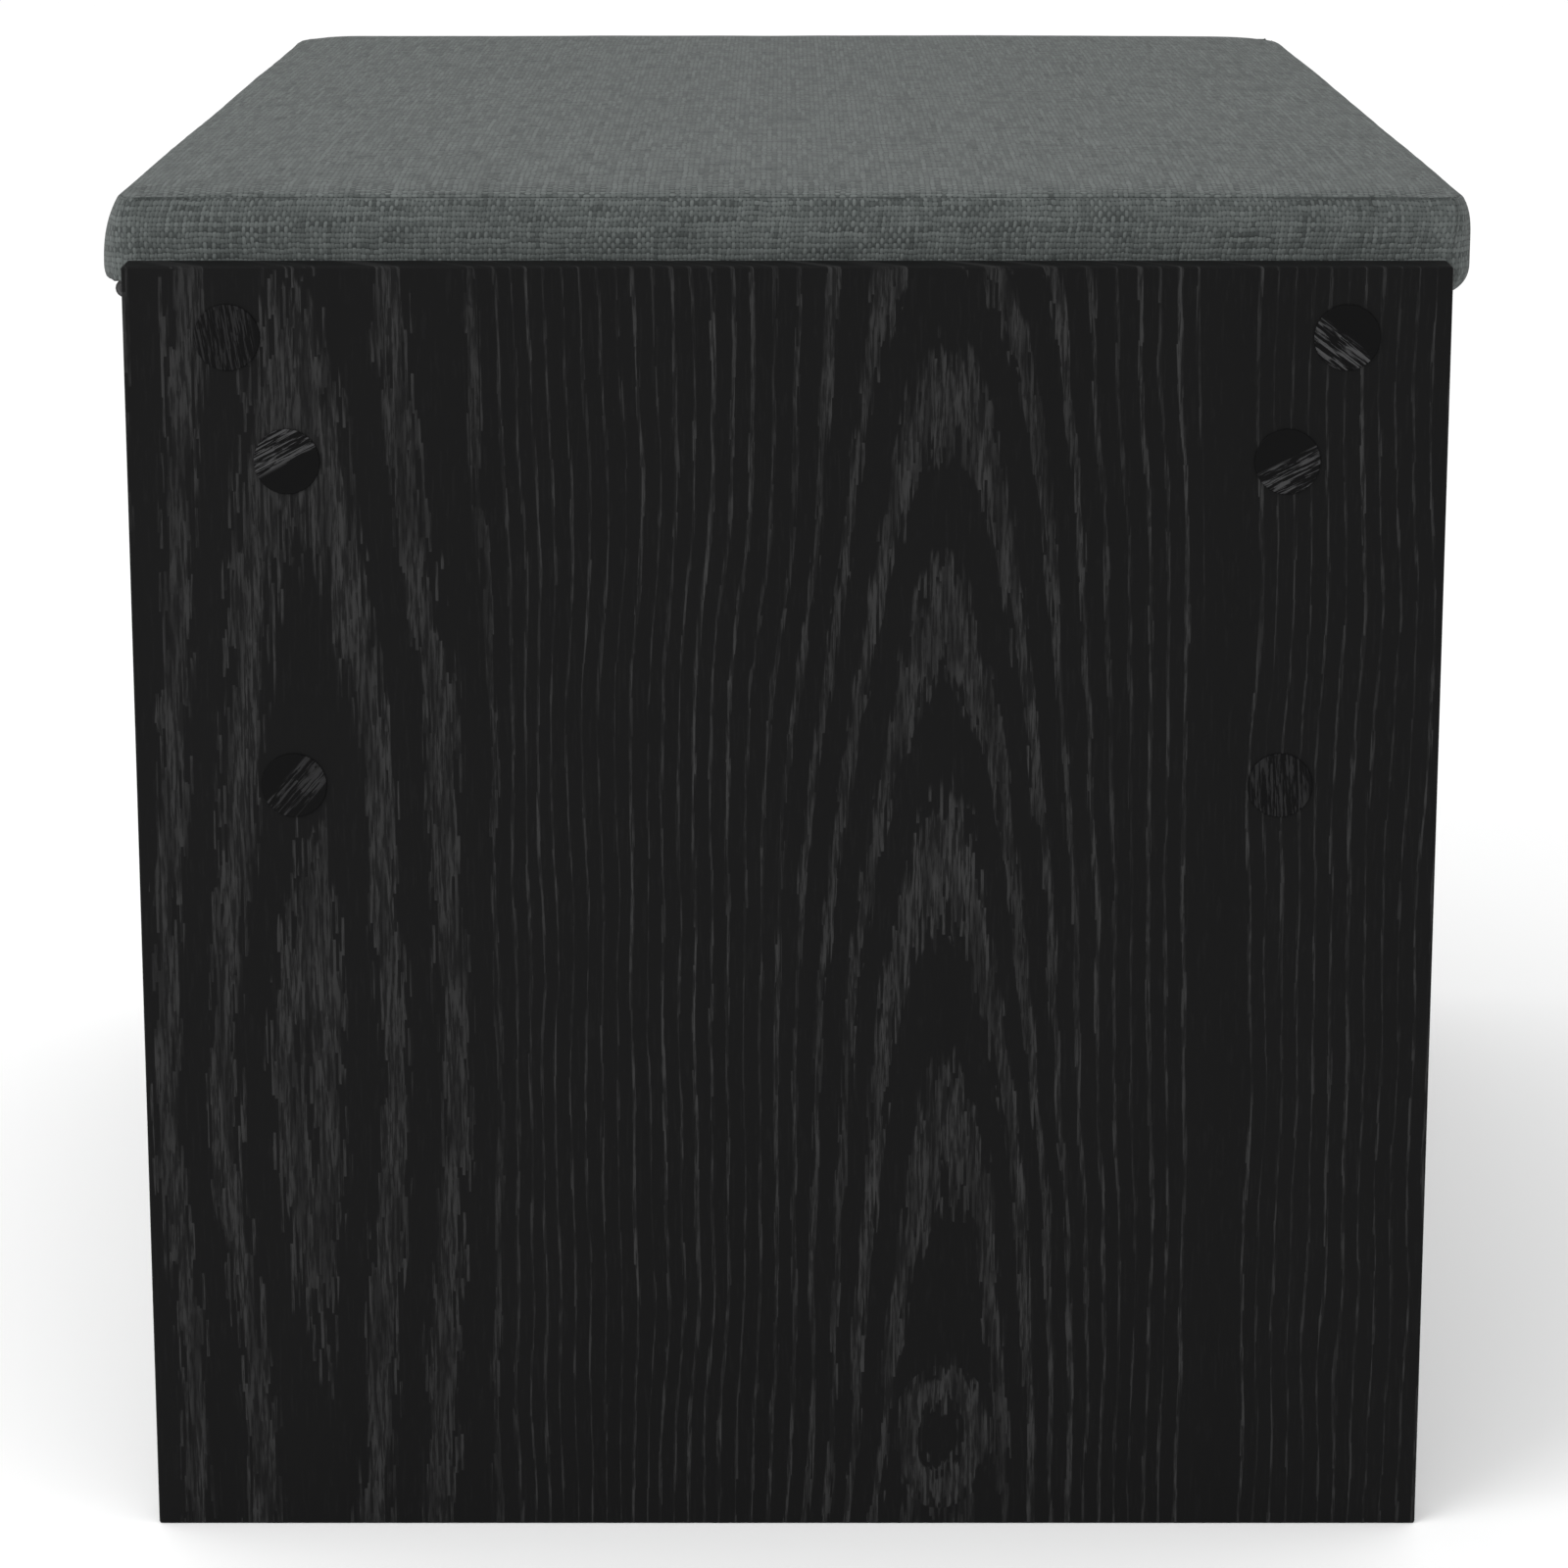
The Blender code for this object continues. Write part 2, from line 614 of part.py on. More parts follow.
def hinge_screw_mesh():
    """Countersunk screw with a slightly domed head; its rim is at the mesh's origin."""
    crown = HINGE_SCREW_RADIUS * CROWN_RATIO
    bm = bmesh.new()
    turned_into(bm, [(0, -HINGE_SCREW_LENGTH),
                     (HINGE_SCREW_RADIUS, HINGE_SCREW_TIP - HINGE_SCREW_LENGTH),
                     (HINGE_SCREW_RADIUS, -HINGE_LEAF), (HINGE_SCREW_HEAD, 0),
                     (crown, HINGE_SCREW_DOME), (0, HINGE_SCREW_DOME)], segments=12)
    return finish_mesh("hinge_screw", bm, 40)


def make_hinge(side, axis, screw):
    bore = bmesh.new()
    centre = SIDES[side] * hinge_x
    turned_into(bore, rod_profile(HINGE_PIN + BORE_CLEARANCE, -HINGE_LENGTH, HINGE_LENGTH),
                Matrix.Translation((centre, hinge_y, hinge_z)) @ Matrix.Rotation(math.pi / 2, 4, "Y"),
                12)
    bore = add_cutter(f"hinge_bore_{side}", bore)
    start = centre - HINGE_LENGTH / 2
    stop = centre + HINGE_LENGTH / 2
    thin = HINGE_LEAF / 10

    # Frame leaf, upright on the back rail's edge
    name = f"hinge_frame_leaf_{side}"
    bm = bmesh.new()
    box_into(bm, (start, leaf_face_y, rail_top - BOARD + TOUCH),
             (stop, leaf_face_y + HINGE_LEAF, rail_top - TOUCH))
    frame_leaf = add_piece(name, finish_mesh(name, bm), "black_steel")
    tabs = knuckle_cutter(name, side, 0, (leaf_face_y + thin, rail_z),
                          (leaf_face_y + HINGE_LEAF - thin, hinge_z - HINGE_PIN))
    # Lid leaf, flat under the lid
    name = f"hinge_lid_leaf_{side}"
    top = lid_low - TOUCH
    bm = bmesh.new()
    box_into(bm, (start, leaf_front_y, top - HINGE_LEAF),
             (stop, edge_y - TOUCH, top))
    lid_leaf = add_piece(name, finish_mesh(name, bm), "black_steel", parent=axis)
    lid_tabs = knuckle_cutter(name, side, 1, (leaf_screw_y, top - HINGE_LEAF + thin),
                              (hinge_y - HINGE_PIN, top - thin))

    for leaf, parts in ((frame_leaf, tabs), (lid_leaf, lid_tabs)):
        for part in parts:
            combine(leaf, part, "UNION")
        combine(leaf, bore)
    places = hinge_screw_places(side)
    combine(frame_leaf, leaf_screw_holes(
        f"frame_leaf_{side}", places, lambda x: along_y(x, leaf_face_y + HINGE_LEAF, rail_z)))
    down = Matrix.Rotation(math.pi, 4, "X")
    combine(lid_leaf, leaf_screw_holes(
        f"lid_leaf_{side}", places,
        lambda x: Matrix.Translation((x, leaf_screw_y, top - HINGE_LEAF)) @ down))

    # Pin with a small head at each end, in the frame leaf's knuckles
    half = HINGE_LENGTH / 2 + TOUCH
    bm = bmesh.new()
    turned_into(bm, headed_pin(HINGE_PIN, -half, half), segments=12)
    add_piece(f"hinge_pin_{side}", finish_mesh("hinge_pin", bm, 40), "black_steel",
              (centre, hinge_y, hinge_z), (0, 90, 0))

    for label, x in zip(("outer", "inner") if side == "left" else ("inner", "outer"), places):
        add_piece(f"frame_leaf_screw_{side}_{label}", screw, "black_steel",
                  (x, leaf_face_y + HINGE_LEAF, rail_z), (-90, 0, 0))
        add_piece(f"lid_leaf_screw_{side}_{label}", screw, "black_steel",
                  (x, leaf_screw_y, top - HINGE_LEAF), (180, 0, 0), axis)


# ---- lid stays ----

def slot_outline(bm, radius, start, stop, low, high):
    """Upright prism with round ends; local Z runs down the arm from the rivet."""
    steps = 8
    rings = []
    for x in (low, high):
        ring = []
        for centre, turn in ((stop, 0), (start, math.pi)):
            for i in range(steps + 1):
                angle = turn + math.pi * i / steps
                ring.append(bm.verts.new((x, radius * math.cos(angle),
                                          -centre - radius * math.sin(angle))))
        rings.append(ring)
    for i in range(len(rings[0])):
        k = (i + 1) % len(rings[0])
        bm.faces.new((rings[0][i], rings[0][k], rings[1][k], rings[1][i]))
    bm.faces.new(rings[0][::-1])
    bm.faces.new(rings[1])


def make_stay(side, lid_axis):
    sign = SIDES[side]
    x = sign * stay_x
    axis = add_empty(f"stay_axis_{side}", (x, rivet_y, rivet_z))
    hole = STAY_PIN + BORE_CLEARANCE

    # Arm, pivoted on the lid's rivet, with the guide screw in its slot
    bm = bmesh.new()
    half = STAY_THICKNESS / 2
    slot_outline(bm, STAY_WIDTH / 2, 0, slot_stop, -half, half)
    arm = add_piece(f"stay_arm_{side}", finish_mesh("stay_arm", bm, 40), "zinc",
                    (x, rivet_y, rivet_z), (stay_lean, 0, 0), axis)
    cut = bmesh.new()
    slot_outline(cut, hole, slot_start, slot_stop, -CUT_PAST, CUT_PAST)
    turned_into(cut, rod_profile(hole, -CUT_PAST, CUT_PAST), Matrix.Rotation(math.pi / 2, 4, "Y"), 12)
    cutter = add_cutter(f"stay_slot_{side}", cut)
    cutter.parent = arm
    combine(arm, cutter)

    # Bracket under the lid: a flange and an ear that carries the rivet
    ear = x - sign * (half + TOUCH)
    flange = sign * (dust_x + FITTING_GAP)
    top = lid_low - TOUCH
    low_z = rivet_z - STAY_WIDTH / 2
    profile = [(ear, top), (ear, low_z), (ear - sign * BRACKET, low_z),
               (ear - sign * BRACKET, top - BRACKET), (flange, top - BRACKET), (flange, top)]
    bm = bmesh.new()
    front = [bm.verts.new((px, rivet_y - BRACKET_WIDTH / 2, pz)) for px, pz in profile]
    face = bm.faces.new(front)
    made = bmesh.ops.extrude_face_region(bm, geom=[face])
    moved = [v for v in made["geom"] if isinstance(v, bmesh.types.BMVert)]
    bmesh.ops.translate(bm, vec=(0, BRACKET_WIDTH, 0), verts=moved)
    bracket = add_piece(f"stay_bracket_{side}", finish_mesh("stay_bracket", bm), "zinc",
                        parent=lid_axis)
    holes = bmesh.new()
    turned_into(holes, rod_profile(hole, -CUT_PAST, CUT_PAST), along_x(sign, ear, rivet_y, rivet_z), 12)
    for along in (-1, 1):
        place = ((flange + ear) / 2, rivet_y + along * BRACKET_WIDTH / 4, top)
        turned_into(holes, rod_profile(BRACKET_SCREW_HOLE, -CUT_PAST / 2, CUT_PAST / 2),
                    Matrix.Translation(place), 12)
    combine(bracket, add_cutter(f"bracket_holes_{side}", holes))

    # Rivet, fixed in the bracket's ear, with the arm turning on it
    outer = half + TOUCH
    inner = half + 2 * TOUCH + BRACKET
    bm = bmesh.new()
    turned_into(bm, headed_pin(STAY_PIN, -inner, outer), segments=12)
    add_piece(f"stay_rivet_{side}", finish_mesh("stay_rivet", bm, 40), "zinc",
              (x, rivet_y, rivet_z), (0, sign * 90, 0), lid_axis)

    # Guide screw in the side panel: thread, collar, plain pin through the slot, head
    thread = STAY_PIN - BORE_CLEARANCE
    wide = STAY_PIN * HEAD_RATIO
    crown = STAY_PIN * CROWN_RATIO
    pin = half + TOUCH
    wall = half + STAY_WALL_GAP
    bm = bmesh.new()
    turned_into(bm, [(0, -pin - GUIDE_HEAD), (crown, -pin - GUIDE_HEAD),
                     (wide, -pin - GUIDE_HEAD / 2), (wide, -pin), (STAY_PIN, -pin),
                     (STAY_PIN, pin), (wide, pin), (wide, wall - TOUCH), (thread, wall - TOUCH),
                     (thread, wall + GUIDE_THREAD), (0, wall + GUIDE_THREAD)], segments=12)
    add_piece(f"stay_guide_screw_{side}", finish_mesh("stay_guide_screw", bm, 40), "zinc",
              (x, guide_y, guide_z), (0, sign * 90, 0))


def main():
    clear_scene()
    make_carcass()
    make_fasteners()
    make_bumpers()
    lid_axis = add_empty("lid_axis", (0, hinge_y, hinge_z))
    make_lid(lid_axis)
    screw = hinge_screw_mesh()
    for side in SIDES:
        make_hinge(side, lid_axis, screw)
        make_stay(side, lid_axis)


main()
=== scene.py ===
import json
import math

import bmesh
import bpy
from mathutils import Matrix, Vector, noise
from mathutils.kdtree import KDTree


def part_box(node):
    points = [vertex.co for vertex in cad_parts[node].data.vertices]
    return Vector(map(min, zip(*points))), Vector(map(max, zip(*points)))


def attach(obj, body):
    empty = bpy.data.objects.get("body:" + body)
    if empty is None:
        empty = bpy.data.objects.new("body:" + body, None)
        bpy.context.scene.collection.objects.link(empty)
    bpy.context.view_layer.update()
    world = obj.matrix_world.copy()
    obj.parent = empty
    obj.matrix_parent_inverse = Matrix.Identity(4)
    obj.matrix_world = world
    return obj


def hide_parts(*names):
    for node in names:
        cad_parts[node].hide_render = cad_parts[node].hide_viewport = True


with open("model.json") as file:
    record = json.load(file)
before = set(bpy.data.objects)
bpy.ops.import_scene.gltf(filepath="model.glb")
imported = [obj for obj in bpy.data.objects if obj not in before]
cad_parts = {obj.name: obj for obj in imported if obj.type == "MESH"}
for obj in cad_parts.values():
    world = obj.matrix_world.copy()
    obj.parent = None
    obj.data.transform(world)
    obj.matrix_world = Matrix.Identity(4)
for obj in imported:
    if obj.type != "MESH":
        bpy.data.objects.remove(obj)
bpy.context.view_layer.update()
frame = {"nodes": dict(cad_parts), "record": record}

print("frame loaded:", len(frame["nodes"]), "pieces")


# node helpers

def feed(tree, socket, value):
    if isinstance(value, bpy.types.NodeSocket):
        tree.links.new(value, socket)
    else:
        socket.default_value = value


def addNode(tree, kind, inputs=None, **settings):
    node = tree.nodes.new(kind)
    for name, value in settings.items():
        setattr(node, name, value)
    for key, value in (inputs or {}).items():
        feed(tree, node.inputs[key], value)
    return node


def calc(tree, operation, first, second=0.0, third=0.0):
    node = addNode(tree, "ShaderNodeMath", {0: first, 1: second, 2: third}, operation=operation)
    return node.outputs[0]


def times(tree, first, second):
    return calc(tree, "MULTIPLY", first, second)


def plus(tree, first, second):
    return calc(tree, "ADD", first, second)


def minus(tree, first, second):
    return calc(tree, "SUBTRACT", first, second)


def timesPlus(tree, first, second, third):
    return calc(tree, "MULTIPLY_ADD", first, second, third)


def ramp(tree, value, low, high, outLow=0.0, outHigh=1.0):
    node = addNode(tree, "ShaderNodeMapRange",
                   {"Value": value, "From Min": low, "From Max": high,
                    "To Min": outLow, "To Max": outHigh}, interpolation_type="SMOOTHSTEP")
    return node.outputs["Result"]


def vector(tree, x=0.0, y=0.0, z=0.0):
    return addNode(tree, "ShaderNodeCombineXYZ", {"X": x, "Y": y, "Z": z}).outputs[0]


def grain(tree, place, scale, detail=2.0, roughness=0.5):
    node = addNode(tree, "ShaderNodeTexNoise",
                   {"Vector": place, "Scale": scale, "Detail": detail, "Roughness": roughness})
    return node.outputs["Fac"]


def blendColors(tree, amount, first, second):
    node = addNode(tree, "ShaderNodeMix", data_type="RGBA")
    feed(tree, node.inputs["Factor"], amount)
    feed(tree, node.inputs[6], first)
    feed(tree, node.inputs[7], second)
    return node.outputs[2]


def newGroup(name, inputs, outputs):
    group = bpy.data.node_groups.new(name, "ShaderNodeTree")
    for label, kind, value in inputs:
        socket = group.interface.new_socket(name=label, in_out="INPUT", socket_type=kind)
        if kind == "NodeSocketFloat":
            socket.default_value = value
    for label, kind in outputs:
        group.interface.new_socket(name=label, in_out="OUTPUT", socket_type=kind)
    source = group.nodes.new("NodeGroupInput").outputs
    sink = group.nodes.new("NodeGroupOutput").inputs
    return group, source, sink


def useGroup(tree, group, inputs):
    node = tree.nodes.new("ShaderNodeGroup")
    node.node_tree = group
    for key, value in inputs.items():
        feed(tree, node.inputs[key], value)
    return node


def newMaterial(name):
    material = bpy.data.materials.new(name)
    material.use_nodes = True
    tree = material.node_tree
    return material, tree, tree.nodes["Principled BSDF"]


def objectCoords(tree):
    return addNode(tree, "ShaderNodeTexCoord").outputs["Object"]


def objectPlace(tree, turn=(0, 0, 0), stretch=(1, 1, 1)):
    mapping = addNode(tree, "ShaderNodeMapping", {"Vector": objectCoords(tree)}, vector_type="POINT")
    mapping.inputs["Rotation"].default_value = turn
    mapping.inputs["Scale"].default_value = stretch
    return mapping.outputs[0]


def bumped(tree, shader, height, strength, distance):
    bump = addNode(tree, "ShaderNodeBump",
                   {"Height": height, "Strength": strength, "Distance": distance})
    feed(tree, shader.inputs["Normal"], bump.outputs[0])


# mesh helpers

def linkItem(name, data):
    item = bpy.data.objects.new(name, data)
    bpy.context.scene.collection.objects.link(item)
    return item


def meshFrom(name, bm, outwards=True):
    if outwards:
        bmesh.ops.recalc_face_normals(bm, faces=bm.faces)
    mesh = bpy.data.meshes.new(name)
    bm.to_mesh(mesh)
    bm.free()
    return mesh


# shared effects

oakFigure = {
    "ringCount": 71.8,       # growth rings from the heart outwards
    "ringReach": 0.35,       # how fast they spread, in metres
    "ringStart": -4.80,      # slides the whole count, which moves the arches up or down
    "wander": 0.020,         # sideways drift of the whole figure
    "flank": 0.055,          # from here outwards they stand closer
    "flankEase": 0.012,
    "flankRings": 60.0,      # that many more per metre
    "heartWidth": 0.034,     # bluntness of the arches' tips
    "archWidth": 0.060,      # how far out the arches still lean
    "climb": (8.0, 8.5),     # rings per metre of height at the floor, and how fast that grows
    "poresAcross": 1050.0,   # pores per metre across the grain
    "poresAlong": 78.0,      # and along it
    "eye": (-0.207, 0.152),  # across and along, the centre of the eye beside the arches
    "eyePitch": 0.019,
    "eyeStart": 29.53,
    "eyeLength": 0.11,       # width of its rings over their length
    "eyeEdge": (-0.125, -0.165),     # between these the arches give way to the eye
    "knot": 0.031,           # height of the knot's centre
    "knotPitch": 0.0194,
    "knotStart": 0.629,
    "knotLength": 0.67,      # width over length, as for the eye
    "knotReach": 0.017,
    "quiet": (0.090, 0.008),         # a stretch without pores beside the arches, middle and half width
    "poreSlip": 17.0,        # each column of pores starts at its own height
    "heartSoft": 0.040,      # bands are wide and ragged this near the heart
}


def makeOakGrain():
    t, source, sink = newGroup(
        "oakGrain",
        [("Across", "NodeSocketFloat", 0.0), ("Along", "NodeSocketFloat", 0.0),
         ("Seed", "NodeSocketFloat", 0.0), ("Arches", "NodeSocketFloat", 1.0),
         ("Second Heart", "NodeSocketFloat", 0.0)],
        [("Pores", "NodeSocketFloat"), ("Dashes", "NodeSocketFloat"), ("Tone", "NodeSocketFloat")])
    across, along, seed = source["Across"], source["Along"], source["Seed"]

    def stretched(acrossScale, alongScale, shift=0.0):
        return vector(t, times(t, across, acrossScale),
                      times(t, along, alongScale), plus(t, seed, shift))

    def bell(value, width):
        ratio = calc(t, "DIVIDE", value, width)
        return calc(t, "POWER", math.e, times(t, times(t, ratio, ratio), -1.0))

    def blendValues(amount, first, second):
        return timesPlus(t, minus(t, second, first), amount, first)

    def ellipse(sideways, lengthways, share):
        low = times(t, lengthways, share)
        return calc(t, "SQRT", timesPlus(t, sideways, sideways, times(t, low, low)))

    # rings spread sideways from the heart, and climb with height near it, so they meet as arches
    wander = minus(t, grain(t, stretched(9.0, 5.0), 1.0, 2.0), 0.5)
    u = timesPlus(t, wander, oakFigure["wander"], across)
    fromHeart = calc(t, "SQRT", timesPlus(t, u, u, oakFigure["heartWidth"] ** 2))
    spread = calc(t, "POWER", math.e, calc(t, "DIVIDE", fromHeart, -oakFigure["ringReach"]))
    rings = timesPlus(t, spread, -oakFigure["ringCount"],
                      oakFigure["ringCount"] + oakFigure["ringStart"])
    beyond = minus(t, fromHeart, oakFigure["flank"])
    smooth = calc(t, "SQRT", timesPlus(t, beyond, beyond, oakFigure["flankEase"] ** 2))
    eased = plus(t, beyond, smooth)
    rings = timesPlus(t, eased, oakFigure["flankRings"] / 2, rings)
    slow, growth = oakFigure["climb"]
    leaning = times(t, bell(u, oakFigure["archWidth"]), source["Arches"])
    climb = times(t, along, timesPlus(t, along, growth, slow))
    climb = times(t, climb, leaning)
    rings = plus(t, rings, climb)

    # an eye-shaped figure beside the arches, and a small knot below them
    eyeAcross, eyeAlong = oakFigure["eye"]
    beside = minus(t, u, eyeAcross)
    eye = ellipse(beside, minus(t, along, eyeAlong), oakFigure["eyeLength"])
    eyeRings = timesPlus(t, eye, -1 / oakFigure["eyePitch"], oakFigure["eyeStart"])
    leftwards = times(t, ramp(t, u, *oakFigure["eyeEdge"]), source["Second Heart"])
    rings = blendValues(leftwards, rings, eyeRings)
    knot = ellipse(u, minus(t, along, oakFigure["knot"]), oakFigure["knotLength"])
    knotRings = timesPlus(t, knot, 1 / oakFigure["knotPitch"], oakFigure["knotStart"])
    inKnot = calc(t, "LESS_THAN", knot, oakFigure["knotReach"])
    rings = blendValues(times(t, inKnot, source["Second Heart"]), rings, knotRings)

    # each pore is a straight dash that starts and stops on its own, so band edges are stepped
    column = calc(t, "FLOOR", times(t, across, oakFigure["poresAcross"]))
    slip = addNode(t, "ShaderNodeTexWhiteNoise", {"W": plus(t, column, seed)},
                   noise_dimensions="1D").outputs["Value"]
    cell = calc(t, "FLOOR", timesPlus(t, along, oakFigure["poresAlong"],
                                      times(t, slip, oakFigure["poreSlip"])))
    pore = addNode(t, "ShaderNodeTexWhiteNoise", {"Vector": vector(t, column, cell, seed)},
                   noise_dimensions="3D")
    middle = calc(t, "MAXIMUM", bell(u, oakFigure["heartSoft"]), leftwards)
    middle = times(t, middle, source["Arches"])
    stepped = timesPlus(t, middle, 0.14, 0.12)
    rings = timesPlus(t, minus(t, pore.outputs["Value"], 0.5), stepped, rings)
    uneven = minus(t, grain(t, stretched(300.0, 30.0, 3.0), 1.0), 0.5)
    rings = timesPlus(t, uneven, 0.24, rings)

    phase = calc(t, "FRACT", rings)
    ring = calc(t, "FLOOR", rings)
    # each ring's band has its own width and strength
    own = addNode(t, "ShaderNodeTexWhiteNoise", {"W": plus(t, ring, seed)},
                  noise_dimensions="1D").outputs["Value"]
    width = timesPlus(t, own, 0.13, 0.11)
    width = timesPlus(t, middle, 0.25, width)
    band = times(t, ramp(t, phase, 0.0, 0.03),
                 ramp(t, minus(t, phase, width), 0.03, -0.03))
    faded = ramp(t, grain(t, stretched(240.0, 24.0, 11.0), 1.0, 2.0), 0.34, 0.60, 0.35, 1.0)
    strength = times(t, timesPlus(t, own, 0.45, 0.55), faded)
    middleQuiet, halfQuiet = oakFigure["quiet"]
    fromQuiet = calc(t, "ABSOLUTE", minus(t, u, middleQuiet))
    quiet = ramp(t, fromQuiet, halfQuiet, halfQuiet - 0.001)
    quiet = times(t, quiet, source["Second Heart"])
    strength = times(t, strength, minus(t, 1.0, quiet))

    dashes = grain(t, stretched(oakFigure["poresAcross"], oakFigure["poresAlong"], 7.0), 1.0, 3.0, 0.65)
    dashes = timesPlus(t, minus(t, pore.outputs["Color"], 0.5), 0.16, dashes)
    dashes = ramp(t, dashes, 0.40, 0.62)
    feed(t, sink["Dashes"], dashes)
    cloudy = timesPlus(t, dashes, 0.82, 0.14)
    inBand = times(t, cloudy, times(t, band, strength))
    stray = times(t, ramp(t, dashes, 0.95, 1.0), 0.05)
    feed(t, sink["Pores"], calc(t, "MAXIMUM", inBand, stray))
    feed(t, sink["Tone"], grain(t, stretched(40.0, 4.0), 1.0, 3.0))
    return t


def makeWeave():
    t, source, sink = newGroup(
        "plainWeave",
        [("Vector", "NodeSocketVector", None), ("Warp Pitch", "NodeSocketFloat", 0.00135),
         ("Weft Pitch", "NodeSocketFloat", 0.0017), ("Unevenness", "NodeSocketFloat", 0.5),
         ("Float Contrast", "NodeSocketFloat", 0.0)],
        [("Height", "NodeSocketFloat"), ("Tone", "NodeSocketFloat")])
    split = addNode(t, "ShaderNodeSeparateXYZ", {0: source["Vector"]})
    u, v = split.outputs["X"], split.outputs["Y"]

    def threads(place, pitch, scale, detail, amount):
        bow = minus(t, grain(t, source["Vector"], scale, detail), 0.5)
        bow = times(t, bow, times(t, source["Unevenness"], amount))
        return plus(t, calc(t, "DIVIDE", place, pitch), bow)

    def rounded(value):
        return calc(t, "ABSOLUTE", calc(t, "SINE", times(t, value, math.pi)))

    warp = threads(u, source["Warp Pitch"], 70.0, 2.0, 3.0)
    weft = threads(v, source["Weft Pitch"], 160.0, 1.0, 1.6)
    warpRound, weftRound = rounded(warp), rounded(weft)
    count = plus(t, calc(t, "FLOOR", warp), calc(t, "FLOOR", weft))
    parity = calc(t, "PINGPONG", count, 1.0)
    signed = timesPlus(t, parity, 2.0, -1.0)
    warpUp = timesPlus(t, times(t, signed, weftRound), 0.45, 0.55)
    weftUp = timesPlus(t, times(t, signed, warpRound), -0.45, 0.55)
    warpHigh = times(t, calc(t, "POWER", warpRound, 0.6), warpUp)
    weftHigh = times(t, calc(t, "POWER", weftRound, 0.6), weftUp)
    feed(t, sink["Height"], calc(t, "MAXIMUM", warpHigh, weftHigh))

    # each thread has its own slubs, lighter and darker along its length
    warpTone = grain(t, vector(t, times(t, calc(t, "FLOOR", warp), 7.31),
                               times(t, v, 70.0)), 1.0, 2.0)
    weftTone = grain(t, vector(t, times(t, u, 45.0),
                               times(t, calc(t, "FLOOR", weft), 5.17), 9.0), 1.0, 2.0)
    top = calc(t, "GREATER_THAN", warpHigh, weftHigh)
    tone = timesPlus(t, minus(t, warpTone, weftTone), top, weftTone)
    floats = times(t, times(t, warpRound, weftRound), signed)
    feed(t, sink["Tone"], timesPlus(t, floats, source["Float Contrast"], tone))
    return t


def makeHandling():
    t, source, sink = newGroup(
        "handlingMarks", [("Vector", "NodeSocketVector", None), ("Amount", "NodeSocketFloat", 0.1)],
        [("Roughness Shift", "NodeSocketFloat")])
    broad = grain(t, source["Vector"], 9.0, 3.0, 0.6)
    smear = grain(t, source["Vector"], 55.0, 2.0, 0.7)
    mixed = timesPlus(t, smear, 0.4, times(t, broad, 0.6))
    feed(t, sink["Roughness Shift"], times(t, minus(t, mixed, 0.5), source["Amount"]))
    return t


oakGrain = makeOakGrain()
plainWeave = makeWeave()
handlingMarks = makeHandling()
print("shared effects made")


# black oak boards

oakLook = {
    "ground": (0.0054, 0.0054, 0.0055, 1.0),
    "pore": (0.0320, 0.0320, 0.0322, 1.0),
    "roughness": 0.54,
    "poreRelief": 0.00006,
    "specular": 0.036,
}


def finishOak(tree, shader, pores, tone, place, look):
    lighter = (*[c * 1.25 for c in look["ground"][:3]], 1.0)
    ground = blendColors(tree, tone, look["ground"], lighter)
    feed(tree, shader.inputs["Base Color"], blendColors(tree, pores, ground, look["pore"]))
    marks = useGroup(tree, handlingMarks, {"Vector": place, "Amount": 0.14})
    feed(tree, shader.inputs["Roughness"], plus(tree, marks.outputs[0], look["roughness"]))
    shader.inputs["Specular IOR Level"].default_value = look["specular"]
    bumped(tree, shader, pores, 0.6, look["poreRelief"])


def oakMaterial(name, across, along, heart=0.0, flip=1.0, seed=0.0, arches=1.0, second=0.0, start=0.0):
    # across names the axis over the grain, then the axis that carries the grain round the edges
    material, tree, shader = newMaterial(name)
    place = objectCoords(tree)
    split = addNode(tree, "ShaderNodeSeparateXYZ", {0: place}).outputs
    wide = timesPlus(tree, split[across[0]], flip, -heart * flip)
    wide = plus(tree, wide, split[across[1]])
    far = minus(tree, split[along], start)
    figure = useGroup(tree, oakGrain, {"Across": wide, "Along": far, "Seed": seed,
                                       "Arches": arches, "Second Heart": second})
    finishOak(tree, shader, figure.outputs["Pores"], figure.outputs["Tone"], place, oakLook)
    return material


def dress(node, material):
    piece = frame["nodes"][node]
    piece.data.materials.clear()
    piece.data.materials.append(material)


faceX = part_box("side_panel_left")[0].x
dress("side_panel_left", oakMaterial("oakLeftPanel", "YX", "Z", heart=-0.0504 - faceX, flip=-1.0,
                                     seed=2.0, second=1.0))
dress("side_panel_right", oakMaterial("oakRightPanel", "YX", "Z", heart=0.035 - faceX, seed=31.0,
                                      second=1.0))
for seed, end in enumerate(("Front", "Back")):
    dress("top_rail_" + end.lower(),
          oakMaterial("oakRail" + end, "YZ", "X", heart=0.30, seed=50.0 + 9 * seed, arches=0.0))
    dress(end.lower() + "_board",
          oakMaterial("oakBoard" + end, "ZY", "X", heart=0.28 + 0.05 * seed, seed=70.0 + 9 * seed,
                      start=-0.42))


# cover caps, each pressed on with its grain at its own angle

capLook = {
    "ground": (0.0036, 0.0036, 0.0037, 1.0),
    "pore": (0.046, 0.046, 0.047, 1.0),
    "roughness": 0.46,
    "poreRelief": 0.00005,
    "specular": 0.03,
    "streakSoft": (0.001, 0.002),    # how softly the streaks begin and end
}
